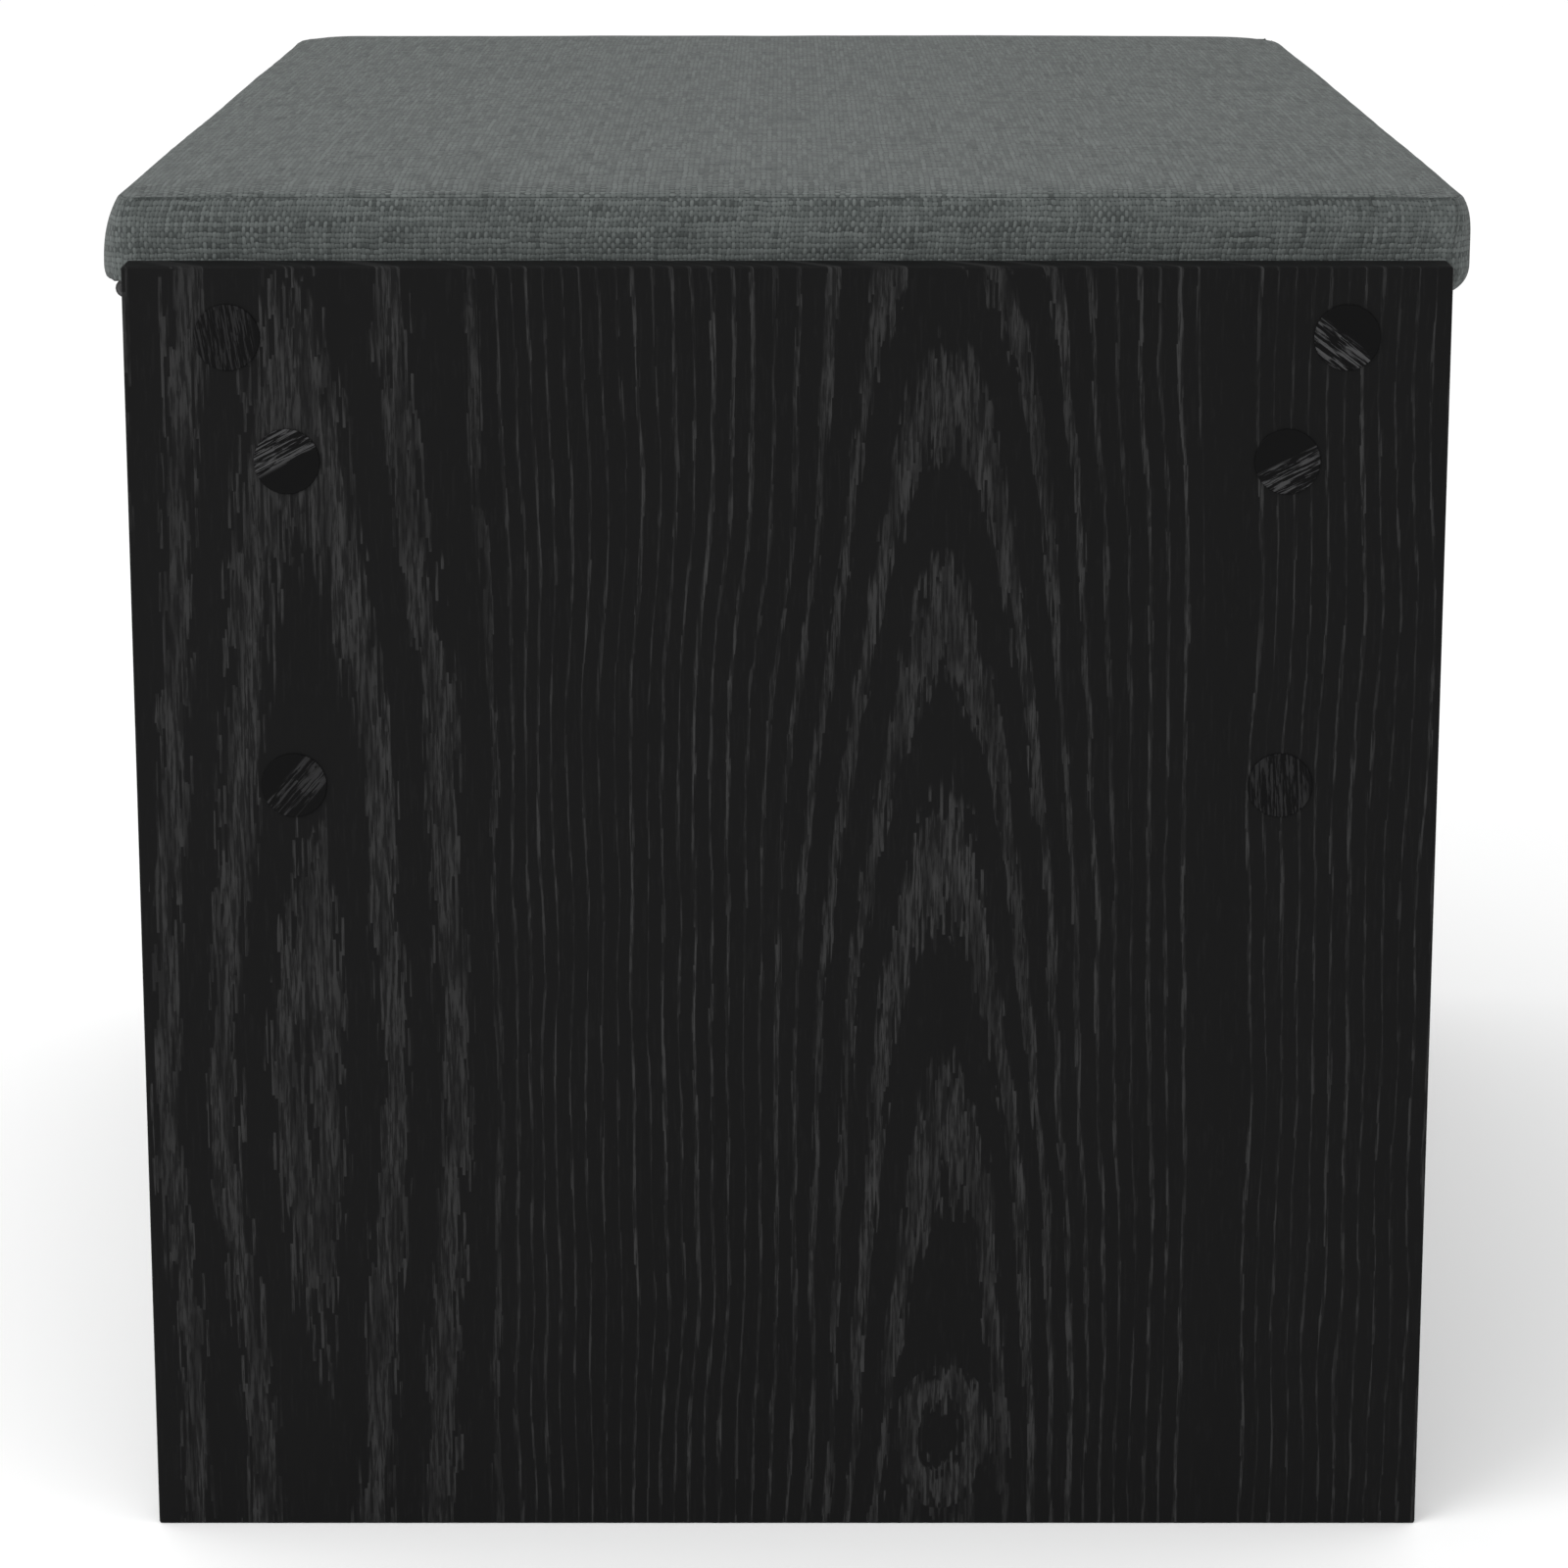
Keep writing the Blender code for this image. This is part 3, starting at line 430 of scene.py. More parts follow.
# lean of the grain from upright, where its streaks begin and end across the cap, their strength
capStreaks = {
    "left_rail_back": (8, -0.012, 0.009, 0.25), "left_back_upper": (-62, -0.012, 0.001, 1.0),
    "left_back_lower": (-42, -0.004, 0.008, 0.40), "left_rail_front": (53, -0.012, 0.001, 1.0),
    "left_front_upper": (-63, -0.001, 0.012, 0.85), "left_front_lower": (3, -0.010, 0.010, 0.28),
    "right_rail_back": (38, -0.012, 0.002, 0.60), "right_back_upper": (-20, -0.006, 0.012, 0.50),
    "right_back_lower": (75, -0.012, 0.000, 0.80), "right_rail_front": (-8, -0.004, 0.012, 0.40),
    "right_front_upper": (62, -0.002, 0.012, 0.90), "right_front_lower": (15, -0.010, 0.004, 0.45),
}


def capMaterial(label, lean, begin, end, strength):
    material, tree, shader = newMaterial("foilCap" + label.title().replace("_", ""))
    low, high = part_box("cover_cap_" + label)
    middle = (low + high) / 2
    side = -1.0 if label.startswith("left") else 1.0
    place = objectCoords(tree)
    split = addNode(tree, "ShaderNodeSeparateXYZ", {0: place}).outputs
    y = times(tree, minus(tree, split["Y"], middle.y), side)
    z = minus(tree, split["Z"], middle.z)
    cosine, sine = math.cos(math.radians(lean)), math.sin(math.radians(lean))
    across = timesPlus(tree, y, cosine, times(tree, z, sine))
    along = timesPlus(tree, z, cosine, times(tree, y, -sine))
    figure = useGroup(tree, oakGrain, {"Across": times(tree, across, 1.3), "Along": along,
                                       "Seed": 100.0 + lean, "Arches": 0.3})
    softBegin, softEnd = capLook["streakSoft"]
    streaks = times(tree, ramp(tree, across, begin, begin + softBegin),
                    ramp(tree, across, end, end - softEnd))
    streaks = times(tree, streaks, ramp(tree, figure.outputs["Dashes"], 0.35, 0.9))
    pores = times(tree, streaks, strength)
    finishOak(tree, shader, pores, figure.outputs["Tone"], place, capLook)
    return material


for label, values in capStreaks.items():
    dress("cover_cap_" + label, capMaterial(label, *values))
print("boards and caps dressed")


# plain finishes of the small pieces

def metalMaterial(name, colour, roughness, scratch, metallic=1.0):
    material, tree, shader = newMaterial(name)
    place = objectPlace(tree)
    streak = grain(tree, objectPlace(tree, turn=(0.3, 0.1, 0.2)), 900.0, 3.0)
    cloud = grain(tree, place, 120.0, 3.0)
    dark = (*[c * 0.82 for c in colour[:3]], 1.0)
    feed(tree, shader.inputs["Base Color"], blendColors(tree, cloud, dark, colour))
    shader.inputs["Metallic"].default_value = metallic
    marks = useGroup(tree, handlingMarks, {"Vector": place, "Amount": 0.3})
    feed(tree, shader.inputs["Roughness"], plus(tree, marks.outputs[0], roughness))
    bumped(tree, shader, streak, scratch, 0.00003)
    return material


def mattMaterial(name, dark, light, roughness, scale, relief, specular=0.3, stretch=(1, 1, 1)):
    material, tree, shader = newMaterial(name)
    place = objectCoords(tree)
    speckle = grain(tree, objectPlace(tree, stretch=stretch), scale, 4.0, 0.65)
    amount = ramp(tree, speckle, 0.35, 0.65)
    feed(tree, shader.inputs["Base Color"], blendColors(tree, amount, dark, light))
    marks = useGroup(tree, handlingMarks, {"Vector": place, "Amount": 0.15})
    feed(tree, shader.inputs["Roughness"], plus(tree, marks.outputs[0], roughness))
    shader.inputs["Specular IOR Level"].default_value = specular
    bumped(tree, shader, speckle, 0.7, relief)
    return material


zinc = metalMaterial("zincPlate", (0.60, 0.61, 0.63, 1.0), 0.34, 0.25)
blackSteel = metalMaterial("blackLacquer", (0.016, 0.016, 0.017, 1.0), 0.38, 0.12, metallic=0.0)
rubber = mattMaterial("blackRubber", (0.012, 0.012, 0.012, 1), (0.022, 0.022, 0.022, 1),
                      0.75, 900, 0.00005)
hardboard = mattMaterial("paintedHardboard", (0.010, 0.010, 0.010, 1), (0.018, 0.017, 0.016, 1),
                         0.62, 260, 0.00012, stretch=(0.5, 1, 1))
rawBoard = mattMaterial("pressedBoard", (0.30, 0.21, 0.12, 1), (0.62, 0.49, 0.34, 1),
                        0.85, 320, 0.0003)
foamLook = mattMaterial("cellFoam", (0.66, 0.60, 0.45, 1), (0.86, 0.82, 0.70, 1),
                        0.95, 700, 0.0003, specular=0.1)
finishOf = {"zinc_steel": zinc, "black_steel": blackSteel, "rubber": rubber,
            "hardboard": hardboard, "raw_board": rawBoard, "foam": foamLook}
for row in frame["record"]["subparts"]:
    if row["material_slot"] in finishOf:
        dress(row["node"], finishOf[row["material_slot"]])
print("small pieces dressed")


# upholstered lid

cushion = {
    "underRoll": (0.0085, 0.0096),   # rounding under the long sides, inwards and upwards
    "endRoll": 0.003,
    "shy": 0.0003,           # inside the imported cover, to leave room for the cloth's unevenness
    "fullest": 0.0139,       # height of the fullest part of the sides
    "seam": 0.0327,          # height of the top seam
    "leanFront": (0.0037, 3.8),      # how far the sides lean in at the seam, and how late
    "leanRear": (0.0058, 2.4),
    "hem": 0.026,
    "cloth": 0.0012,
    "turnIn": (0.0072, 0.0036),      # the long sides turn in at the ends: low down, and at the seam
    "turnLength": 0.013,
    "turnPower": 1.6,
    "corner": 0.0020,
    "rim": 0.0020,           # quick rise of the top inside the seam
    "rimWidth": 0.005,
    "rimCorner": 0.030,
    "crown": 0.0017,         # slow rise before the stuffing swells it
    "swell": 0.0015,
    "rebateDepth": 0.0104,   # the hinge side is cut back under the overhang
    "rebateHeight": 0.0054,
    "seamDepth": 0.0009,
    "uprightDepth": 0.0007,  # of the seams at the corners
    "sidePoints": 164,
    "crowding": 0.65,        # of those points towards the ends
    "endPoints": 112,
    "cornerPoints": 6,
}
coverLow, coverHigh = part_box("lid_cover")
seamZ = coverLow.z + cushion["seam"]
hemRows = 5


def turnedIn(x, halfX, full, drop):
    near = max(0.0, 1 - (halfX - abs(x)) / cushion["turnLength"])
    return full - drop * near ** cushion["turnPower"]


def planOutline(ring, sides, ends, corners):
    # points round the lid: flat ends, small corners, long sides that turn in just before the ends
    halfX, frontY, rearY, drop = ring["halfX"], ring["frontY"], ring["rearY"], ring["drop"]
    corner = cushion["corner"]

    def quarter(outX, outY, full, first):
        half = turnedIn(halfX, halfX, full, drop)
        run = []
        for step in range(corners):
            angle = math.pi / 2 * (step + 0.5) / corners
            if not first:
                angle = math.pi / 2 - angle
            run.append((outX * (halfX - corner + corner * math.cos(angle)),
                        outY * (half - corner + corner * math.sin(angle))))
        return run

    points = []
    front = corner - turnedIn(halfX, halfX, frontY, drop)
    rear = turnedIn(halfX, halfX, rearY, drop) - corner
    for outX in (1, -1):
        begin, finish = (front, rear) if outX > 0 else (rear, front)
        for step in range(ends):
            points.append((outX * halfX, begin + (finish - begin) * (step + 0.5) / ends))
        full, outY = (rearY, 1) if outX > 0 else (frontY, -1)
        points += quarter(outX, outY, full, True)
        for step in range(sides):
            share = (step + 0.5) / sides
            share -= cushion["crowding"] * math.sin(2 * math.pi * share) / (2 * math.pi)
            x = outX * (halfX - corner) * (1 - 2 * share)
            points.append((x, outY * turnedIn(x, halfX, full, drop)))
        points += quarter(-outX, outY, full, False)
    return points


def riseInside(x, y, frontY, rearY):
    # height of the top over the seam: a quick round rim, then a slow crown
    corner = cushion["rimCorner"]
    halfY = (frontY + rearY) / 2
    fromEnd = coverHigh.x - abs(x)
    fromSide = (rearY - y) if y > 0 else (frontY + y)
    if fromEnd < corner and fromSide < corner:
        inside = corner - math.hypot(corner - fromEnd, corner - fromSide)
    else:
        inside = min(fromEnd, fromSide)
    rim = 1 - math.exp(-max(0.0, inside) / cushion["rimWidth"])
    length = max(0.0, 1 - (x / coverHigh.x) ** 2) ** 0.5
    depth = max(0.0, 1 - (y / halfY) ** 2) ** 0.5
    return cushion["rim"] * rim + cushion["crown"] * length * depth


def coverRings():
    # one row for each ring of points, from the hem's mouth under the lid to the middle of the top
    rollIn, rollUp = cushion["underRoll"]
    halfX, halfY = coverHigh.x, coverHigh.y - cushion["shy"]
    rings = []

    def add(part, endIn, frontIn, rearIn, z, travel, drop):
        rings.append({"part": part, "halfX": halfX - endIn, "frontY": halfY - frontIn,
                      "rearY": halfY - rearIn, "z": z, "travel": travel, "drop": drop})

    base = coverLow.z
    lowDrop, seamDrop = cushion["turnIn"]
    for step in range(hemRows):
        share = 1 - step / hemRows
        inward = cushion["hem"] * share
        add("hem", cushion["endRoll"] + inward, rollIn + inward, rollIn + inward, base, -0.002 - inward,
            lowDrop * (1 - share))
    rollCloth = 0.012        # length of cloth round the lower roll
    for step in range(13):
        angle = math.pi / 2 * (step / 12 - 1)
        inward = 1 - math.cos(angle)
        add("border", cushion["endRoll"] * inward, rollIn * inward, rollIn * inward,
            base + rollUp * (1 + math.sin(angle)), rollCloth * step / 12, lowDrop)
    heights = [rollUp + (cushion["seam"] - 0.0016 - rollUp) * step / 13 for step in range(1, 14)]
    heights += [cushion["seam"] - 0.0009, cushion["seam"] - 0.0004, cushion["seam"]]
    for height in heights:
        late = max(0.0, (height - cushion["fullest"]) / (cushion["seam"] - cushion["fullest"]))
        lateRear = max(0.0, (height - rollUp) / (cushion["seam"] - rollUp))
        front = cushion["leanFront"][0] * late ** cushion["leanFront"][1]
        rear = cushion["leanRear"][0] * lateRear ** cushion["leanRear"][1]
        part = "seam" if height == cushion["seam"] else "border"
        add(part, 0.0, front, rear, base + height, rollCloth + height - rollUp,
            lowDrop + (seamDrop - lowDrop) * late)
    frontSeam, rearSeam = cushion["leanFront"][0], cushion["leanRear"][0]
    inset, stride = 0.0004, 0.0005
    while inset < halfY - rearSeam - 0.006:
        add("top", inset, frontSeam + inset, rearSeam + inset, seamZ, 0.0,
            seamDrop * max(0.0, 1 - inset / halfY))
        stride = min(stride * 1.28, 0.0062)
        inset += stride
    return rings


def coverSkin(name, rings, coarse):
    sides, ends, corners = cushion["sidePoints"], cushion["endPoints"], cushion["cornerPoints"]
    if coarse:
        sides, ends, corners = sides // 3, ends // 3, 2
    frontSeam = coverHigh.y - cushion["shy"] - cushion["leanFront"][0]
    rearSeam = coverHigh.y - cushion["shy"] - cushion["leanRear"][0]
    bm = bmesh.new()
    weave = bm.loops.layers.uv.new("weave")
    rows = []
    for ring in rings:
        row = []
        for x, y in planOutline(ring, sides, ends, corners):
            z = ring["z"]
            if ring["part"] == "top":
                z = seamZ + riseInside(x, y, frontSeam, rearSeam)
            row.append(bm.verts.new((x, y, z)))
        rows.append(row)
    count = len(rows[0])
    widest = max(range(len(rings)), key=lambda index: rings[index]["rearY"])
    travelled = [0.0]
    for index in range(count):
        step = rows[widest][(index + 1) % count].co - rows[widest][index].co
        travelled.append(travelled[-1] + step.length)
    for line in range(len(rows) - 1):
        flat = rings[line + 1]["part"] == "top"
        for index in range(count):
            after = (index + 1) % count
            face = bm.faces.new((rows[line][index], rows[line][after],
                                 rows[line + 1][after], rows[line + 1][index]))
            square = ((index, line), (index + 1, line), (index + 1, line + 1), (index, line + 1))
            for loop, (step, level) in zip(face.loops, square):
                if flat:
                    loop[weave].uv = loop.vert.co.xy
                else:
                    loop[weave].uv = (travelled[step] + 1.0, rings[level]["travel"])
    middle = bm.faces.new(rows[-1])
    for face in bmesh.ops.triangulate(bm, faces=[middle])["faces"]:
        for loop in face.loops:
            loop[weave].uv = loop.vert.co.xy
    bm.verts.index_update()
    order = [[vert.index for vert in row] for row in rows]
    return linkItem(name, meshFrom(name, bm)), order


def stuffing():
    # a coarse copy of the skin is blown up against its hem and seam; its movement shapes the fine one
    rings = [ring for index, ring in enumerate(coverRings())
             if index % 3 == 0 or ring["part"] == "seam"]
    skin, rows = coverSkin("stuffing", rings, True)
    before = [vert.co.copy() for vert in skin.data.vertices]
    held = [index for ring, row in zip(rings, rows) if ring["part"] in ("hem", "seam") for index in row]
    skin.vertex_groups.new(name="held").add(held, 1.0, "REPLACE")
    cloth = skin.modifiers.new("swell", "CLOTH")
    cloth.settings.quality = 6
    cloth.settings.mass = 0.3
    cloth.settings.bending_stiffness = 4
    cloth.settings.use_pressure = True
    cloth.settings.uniform_pressure_force = 4.0
    cloth.settings.effector_weights.gravity = 0
    cloth.settings.vertex_group_mass = "held"
    for step in range(1, 21):
        bpy.context.scene.frame_set(step)
    graph = bpy.context.evaluated_depsgraph_get()
    shifts = [after.co - start for after, start in
              zip(skin.evaluated_get(graph).data.vertices, before)]
    bpy.context.scene.frame_set(1)
    bpy.data.objects.remove(skin, do_unlink=True)
    largest = max(shift.length for shift in shifts)
    scale = min(1.0, cushion["swell"] / largest)
    print("stuffing swells", round(largest * 1000, 1), "mm, kept to", cushion["swell"] * 1000)
    return before, [shift * scale for shift in shifts]


def swell(piece):
    places, shifts = stuffing()
    tree = KDTree(len(places))
    for index, place in enumerate(places):
        tree.insert(place, index)
    tree.balance()
    for vert in piece.data.vertices:
        total, moved = 0.0, Vector()
        for place, index, distance in tree.find_n(vert.co, 6):
            weight = 1 / (distance + 0.002) ** 2
            total += weight
            moved += shifts[index] * weight
        vert.co += moved / total


def carveCover(piece, rings, rows):
    mesh = piece.data
    shade = mesh.attributes.new("seamShade", "FLOAT", "POINT")
    normals = [vert.normal.copy() for vert in mesh.vertices]
    seamRow = next(index for index, ring in enumerate(rings) if ring["part"] == "seam")
    rebateY = coverHigh.y - cushion["rebateDepth"]
    rebateZ = coverLow.z + cushion["rebateHeight"]
    ends, corners = cushion["endPoints"], cushion["cornerPoints"]
    perHalf = ends + 2 * corners + cushion["sidePoints"]
    upright = [half * perHalf + place for half in (0, 1)
               for place in (ends + corners // 2, perHalf - corners // 2 - 1)]

    # soft unevenness everywhere above the hem
    for line, row in enumerate(rows):
        if rings[line]["part"] == "hem":
            continue
        for index in row:
            co = mesh.vertices[index].co
            slow = noise.noise(Vector((co.x * 9, co.y * 11, co.z * 20)))
            quick = noise.noise(Vector((co.x * 42, co.y * 42, co.z * 60 + 5)))
            co += normals[index] * (0.00035 * slow + 0.00012 * quick)

    # the top seam sinks in, with small puckers along it; each row beside it has its offset, its depth and its
    # dark share, the painted shade it gets through seamShade
    across = ((-2, 0.15, 0.0), (-1, 0.55, 0.35), (0, 1.0, 1.0), (1, 0.7, 0.5), (2, 0.2, 0.0))
    for offset, depth, dark in across:
        for index in rows[seamRow + offset]:
            co = mesh.vertices[index].co
            pucker = noise.noise(Vector((co.x * 110, co.y * 110, 3.0)))
            co -= normals[index] * cushion["seamDepth"] * depth * (1.0 + 0.35 * pucker)
            shade.data[index].value = dark

    # upright seams where the end strips meet the side strips, sunk in and given painted shade through
    # seamShade
    for line in range(hemRows + 1, seamRow):
        for place in upright:
            for offset, depth in ((-1, 0.4), (0, 1.0), (1, 0.4)):
                index = rows[line][place + offset]
                mesh.vertices[index].co -= normals[index] * cushion["uprightDepth"] * depth
                shade.data[index].value = max(shade.data[index].value, 0.8 * depth)

    # cut back over the hinge barrels
    for line in range(seamRow):
        for index in rows[line]:
            co = mesh.vertices[index].co
            if co.y > rebateY and co.z < rebateZ:
                co.z = rebateZ


clothLook = {
    "thread": (0.071, 0.079, 0.077, 1.0),
    "pale": (0.110, 0.121, 0.118, 1.0),
    "deep": (0.045, 0.050, 0.049, 1.0),
    # gap: painted shade, the dark colour put into the low spots between the threads and into the seams
    "gap": (0.027, 0.030, 0.030, 1.0),
    "relief": 0.0004,
}


def clothMaterial():
    material, tree, shader = newMaterial("greyLinenWeave")
    place = addNode(tree, "ShaderNodeUVMap", uv_map="weave").outputs[0]
    threads = useGroup(tree, plainWeave, {"Vector": place, "Unevenness": 0.6, "Float Contrast": 0.06})
    height, tone = threads.outputs["Height"], threads.outputs["Tone"]
    colour = blendColors(tree, ramp(tree, tone, 0.40, 0.68), clothLook["thread"], clothLook["pale"])
    colour = blendColors(tree, ramp(tree, tone, 0.47, 0.30), colour, clothLook["deep"])
    # painted shade: the low spots of the weave, between the threads, are darkened towards the gap colour
    colour = blendColors(tree, ramp(tree, height, 0.08, 0.60), clothLook["gap"], colour)
    # painted shade in the seam grooves: seamShade darkens the cloth towards the gap colour
    shade = addNode(tree, "ShaderNodeAttribute", attribute_name="seamShade").outputs["Fac"]
    colour = blendColors(tree, times(tree, shade, 0.6), colour, clothLook["gap"])
    feed(tree, shader.inputs["Base Color"], colour)
    shader.inputs["Roughness"].default_value = 0.95
    shader.inputs["Specular IOR Level"].default_value = 0.1
    shader.inputs["Sheen Weight"].default_value = 0.05
    shader.inputs["Sheen Roughness"].default_value = 0.5
    bumped(tree, shader, height, 0.8, clothLook["relief"])
    return material


def makeCover():
    rings = coverRings()
    piece, rows = coverSkin("lidCover", rings, False)
    swell(piece)
    carveCover(piece, rings, rows)
    shell = piece.modifiers.new("clothThickness", "SOLIDIFY")
    shell.thickness = cushion["cloth"]
    shell.offset = -1
    piece.data.shade_smooth()
    piece.data.materials.append(clothMaterial())
    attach(piece, "lid")
    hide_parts("lid_cover")


def makeFoam():
    # the stuffing under the cover, wrapped over the board in the lid
    boardLow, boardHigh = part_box("lid_board")
    gap = 0.0003             # round the board
    skin = cushion["cloth"] + 0.0008     # the cover, and a little air over the foam
    rings = []
    for z in (boardHigh.z + gap, boardLow.z):
        rings.append({"part": "border", "halfX": boardHigh.x + gap, "frontY": boardHigh.y + gap,
                      "rearY": boardHigh.y + gap, "z": z, "travel": 0.0, "drop": 0.0})
    for index, ring in enumerate(coverRings()):
        if ring["part"] == "hem" or (index % 2 and ring["part"] == "border") or ring["z"] < boardLow.z:
            continue
        rings.append({**ring, "halfX": ring["halfX"] - skin, "frontY": ring["frontY"] - skin,
                      "rearY": ring["rearY"] - skin})
    piece, rows = coverSkin("lidFoam", rings, True)
    bm = bmesh.new()
    bm.from_mesh(piece.data)
    bm.verts.ensure_lookup_table()
    bm.faces.new([bm.verts[index] for index in rows[0]])
    bmesh.ops.recalc_face_normals(bm, faces=bm.faces)
    bm.to_mesh(piece.data)
    bm.free()
    swell(piece)
    sunk = coverHigh.y - 0.011       # behind this the foam makes room for the hinges
    sunkZ = coverLow.z + cushion["rebateHeight"] + cushion["cloth"] + 0.0006
    for ring, row in zip(rings, rows):
        for index in row:
            co = piece.data.vertices[index].co
            if ring["part"] == "top":
                co.z -= skin
            elif ring["part"] != "border" or ring["travel"] > 0:
                co.z -= skin * 0.5
            if co.y > sunk and co.z < sunkZ:
                co.z = sunkZ
    piece.data.shade_smooth()
    piece.data.set_sharp_from_angle(angle=math.radians(50))
    piece.data.materials.append(foamLook)
    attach(piece, "lid")
    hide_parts("lid_foam")


makeCover()
makeFoam()
print("lid cover made")


# underside of the lid: dust sheet, staples, bracket screws and the tape over the hinges

underside = {
    "staplePitch": 0.022,
    "stapleInset": 0.008,
    "stapleLength": 0.0105,
    "stapleWire": 0.00032,
    "screwHead": 0.0030,
    "screwHeight": 0.0012,
    "tapeThickness": 0.0006,
    "tapeLap": 0.0030,       # over the hinge leaves
    "tapeShort": 0.008,      # of the lid's ends
    "tapeBack": 0.0026,      # behind the fullest part of the side
    "bracketThickness": 0.0013,
    "sheetGrid": (140, 96),
    "sheetThickness": 0.0002,
    "sheetPucker": 0.00012,  # between the staples
    "puckerReach": 0.012,
}


def makeDustSheet():
    low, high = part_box("lid_dust_sheet")
    columns, lines = underside["sheetGrid"]
    bm = bmesh.new()
    grid = []
    pitch = underside["staplePitch"]
    for line in range(lines + 1):
        y = low.y + (high.y - low.y) * line / lines
        row = []
        for column in range(columns + 1):
            x = low.x + (high.x - low.x) * column / columns
            edge = min(high.x - abs(x), high.y - abs(y))
            along = x if high.y - abs(y) < high.x - abs(x) else y
            pull = math.cos(2 * math.pi * along / pitch) * math.exp(-edge / underside["puckerReach"])
            if edge <= 0.001:
                pull = 0.0
            sag = noise.noise(Vector((x * 16, y * 16, 2.0))) - pull
            z = high.z - 0.00025 + underside["sheetPucker"] * sag
            row.append(bm.verts.new((x, y, z)))
        grid.append(row)
    for line in range(lines):
        for column in range(columns):
            bm.faces.new((grid[line][column], grid[line + 1][column],
                          grid[line + 1][column + 1], grid[line][column + 1]))
    mesh = meshFrom("dustSheet", bm, outwards=False)
    piece = linkItem("dustSheet", mesh)
    shell = piece.modifiers.new("sheetThickness", "SOLIDIFY")
    shell.thickness = underside["sheetThickness"]
    shell.offset = 0
    mesh.shade_smooth()
    mesh.materials.append(nonwoven)
    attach(piece, "lid")
    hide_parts("lid_dust_sheet")
    return low, high


def sweptTube(bm, path, radius, sides=6):
    # a thin round wire along a path that lies in one upright plane
    rings = []
    for index, point in enumerate(path):
        before, after = path[max(0, index - 1)], path[min(len(path) - 1, index + 1)]
        direction = (after - before).normalized()
        across = Vector((0, 1, 0))
        upward = direction.cross(across)
        rings.append([bm.verts.new(point + radius * (math.cos(angle) * across + math.sin(angle) * upward))
                      for angle in (2 * math.pi * side / sides for side in range(sides))])
    for first, second in zip(rings, rings[1:]):
        for side in range(sides):
            after = (side + 1) % sides
            bm.faces.new((first[side], first[after], second[after], second[side]))
    bm.faces.new(rings[0])
    bm.faces.new(rings[-1])


def stapleShape():
    # crown along X with its two legs turned up into the board
    half, wire = underside["stapleLength"] / 2, underside["stapleWire"]
    bend = 0.0006
    path = [Vector((-half, 0, bend * 1.6)), Vector((-half + bend * 0.3, 0, bend * 0.3)),
            Vector((-half + bend, 0, 0)), Vector((half - bend, 0, 0)),
            Vector((half - bend * 0.3, 0, bend * 0.3)), Vector((half, 0, bend * 1.6))]
    bm = bmesh.new()
    sweptTube(bm, path, wire)
    return linkItem("stapleShape", meshFrom("stapleShape", bm))


def screwShape():
    # low domed head, face down, with a cross recess
    radius, height = underside["screwHead"], underside["screwHeight"]
    segments = 24
    profile = [(1.0, 0.0), (1.0, 0.25), (0.92, 0.62), (0.74, 0.88), (0.5, 1.0)]
    bm = bmesh.new()
    rings = []
    for share, level in profile:
        rings.append([bm.verts.new((radius * share * math.cos(2 * math.pi * step / segments),
                                    radius * share * math.sin(2 * math.pi * step / segments),
                                    -height * level)) for step in range(segments)])
    cross, floor = [], []
    for step in range(segments):
        angle = 2 * math.pi * step / segments
        arm = 0.42 if step % 6 == 0 else 0.13
        cross.append(bm.verts.new((radius * arm * math.cos(angle), radius * arm * math.sin(angle), -height)))
        floor.append(bm.verts.new((radius * arm * 0.7 * math.cos(angle),
                                   radius * arm * 0.7 * math.sin(angle), -height * 0.35)))
    for first, second in zip(rings + [cross], rings[1:] + [cross, floor]):
        for step in range(segments):
            after = (step + 1) % segments
            bm.faces.new((first[step], first[after], second[after], second[step]))
    bm.faces.new(floor)
    bm.faces.new(rings[0])
    return linkItem("screwShape", meshFrom("screwShape", bm))


def newNodes(name, inputs):
    tree = bpy.data.node_groups.new(name, "GeometryNodeTree")
    tree.interface.new_socket(name="Geometry", in_out="OUTPUT", socket_type="NodeSocketGeometry")
    for label, kind in inputs:
        tree.interface.new_socket(name=label, in_out="INPUT", socket_type=kind)
    return tree, tree.nodes.new("NodeGroupInput").outputs, tree.nodes.new("NodeGroupOutput").inputs


def placeShapes(tree, source, sink, points, rotation=None):
    shape = addNode(tree, "GeometryNodeObjectInfo", {"Object": source["Shape"]})
    inputs = {"Points": points, "Instance": shape.outputs["Geometry"]}
    if rotation:
        inputs["Rotation"] = rotation
    placed = addNode(tree, "GeometryNodeInstanceOnPoints", inputs)
    real = addNode(tree, "GeometryNodeRealizeInstances", {"Geometry": placed.outputs[0]})
    level = addNode(tree, "ShaderNodeCombineXYZ", {"Y": source["Centre"], "Z": source["Level"]})
    moved = addNode(tree, "GeometryNodeTransform",
                    {"Geometry": real.outputs[0], "Translation": level.outputs[0]})
    finished = addNode(tree, "GeometryNodeSetMaterial",
                       {"Geometry": moved.outputs[0], "Material": source["Material"]})
    feed(tree, sink["Geometry"], finished.outputs[0])


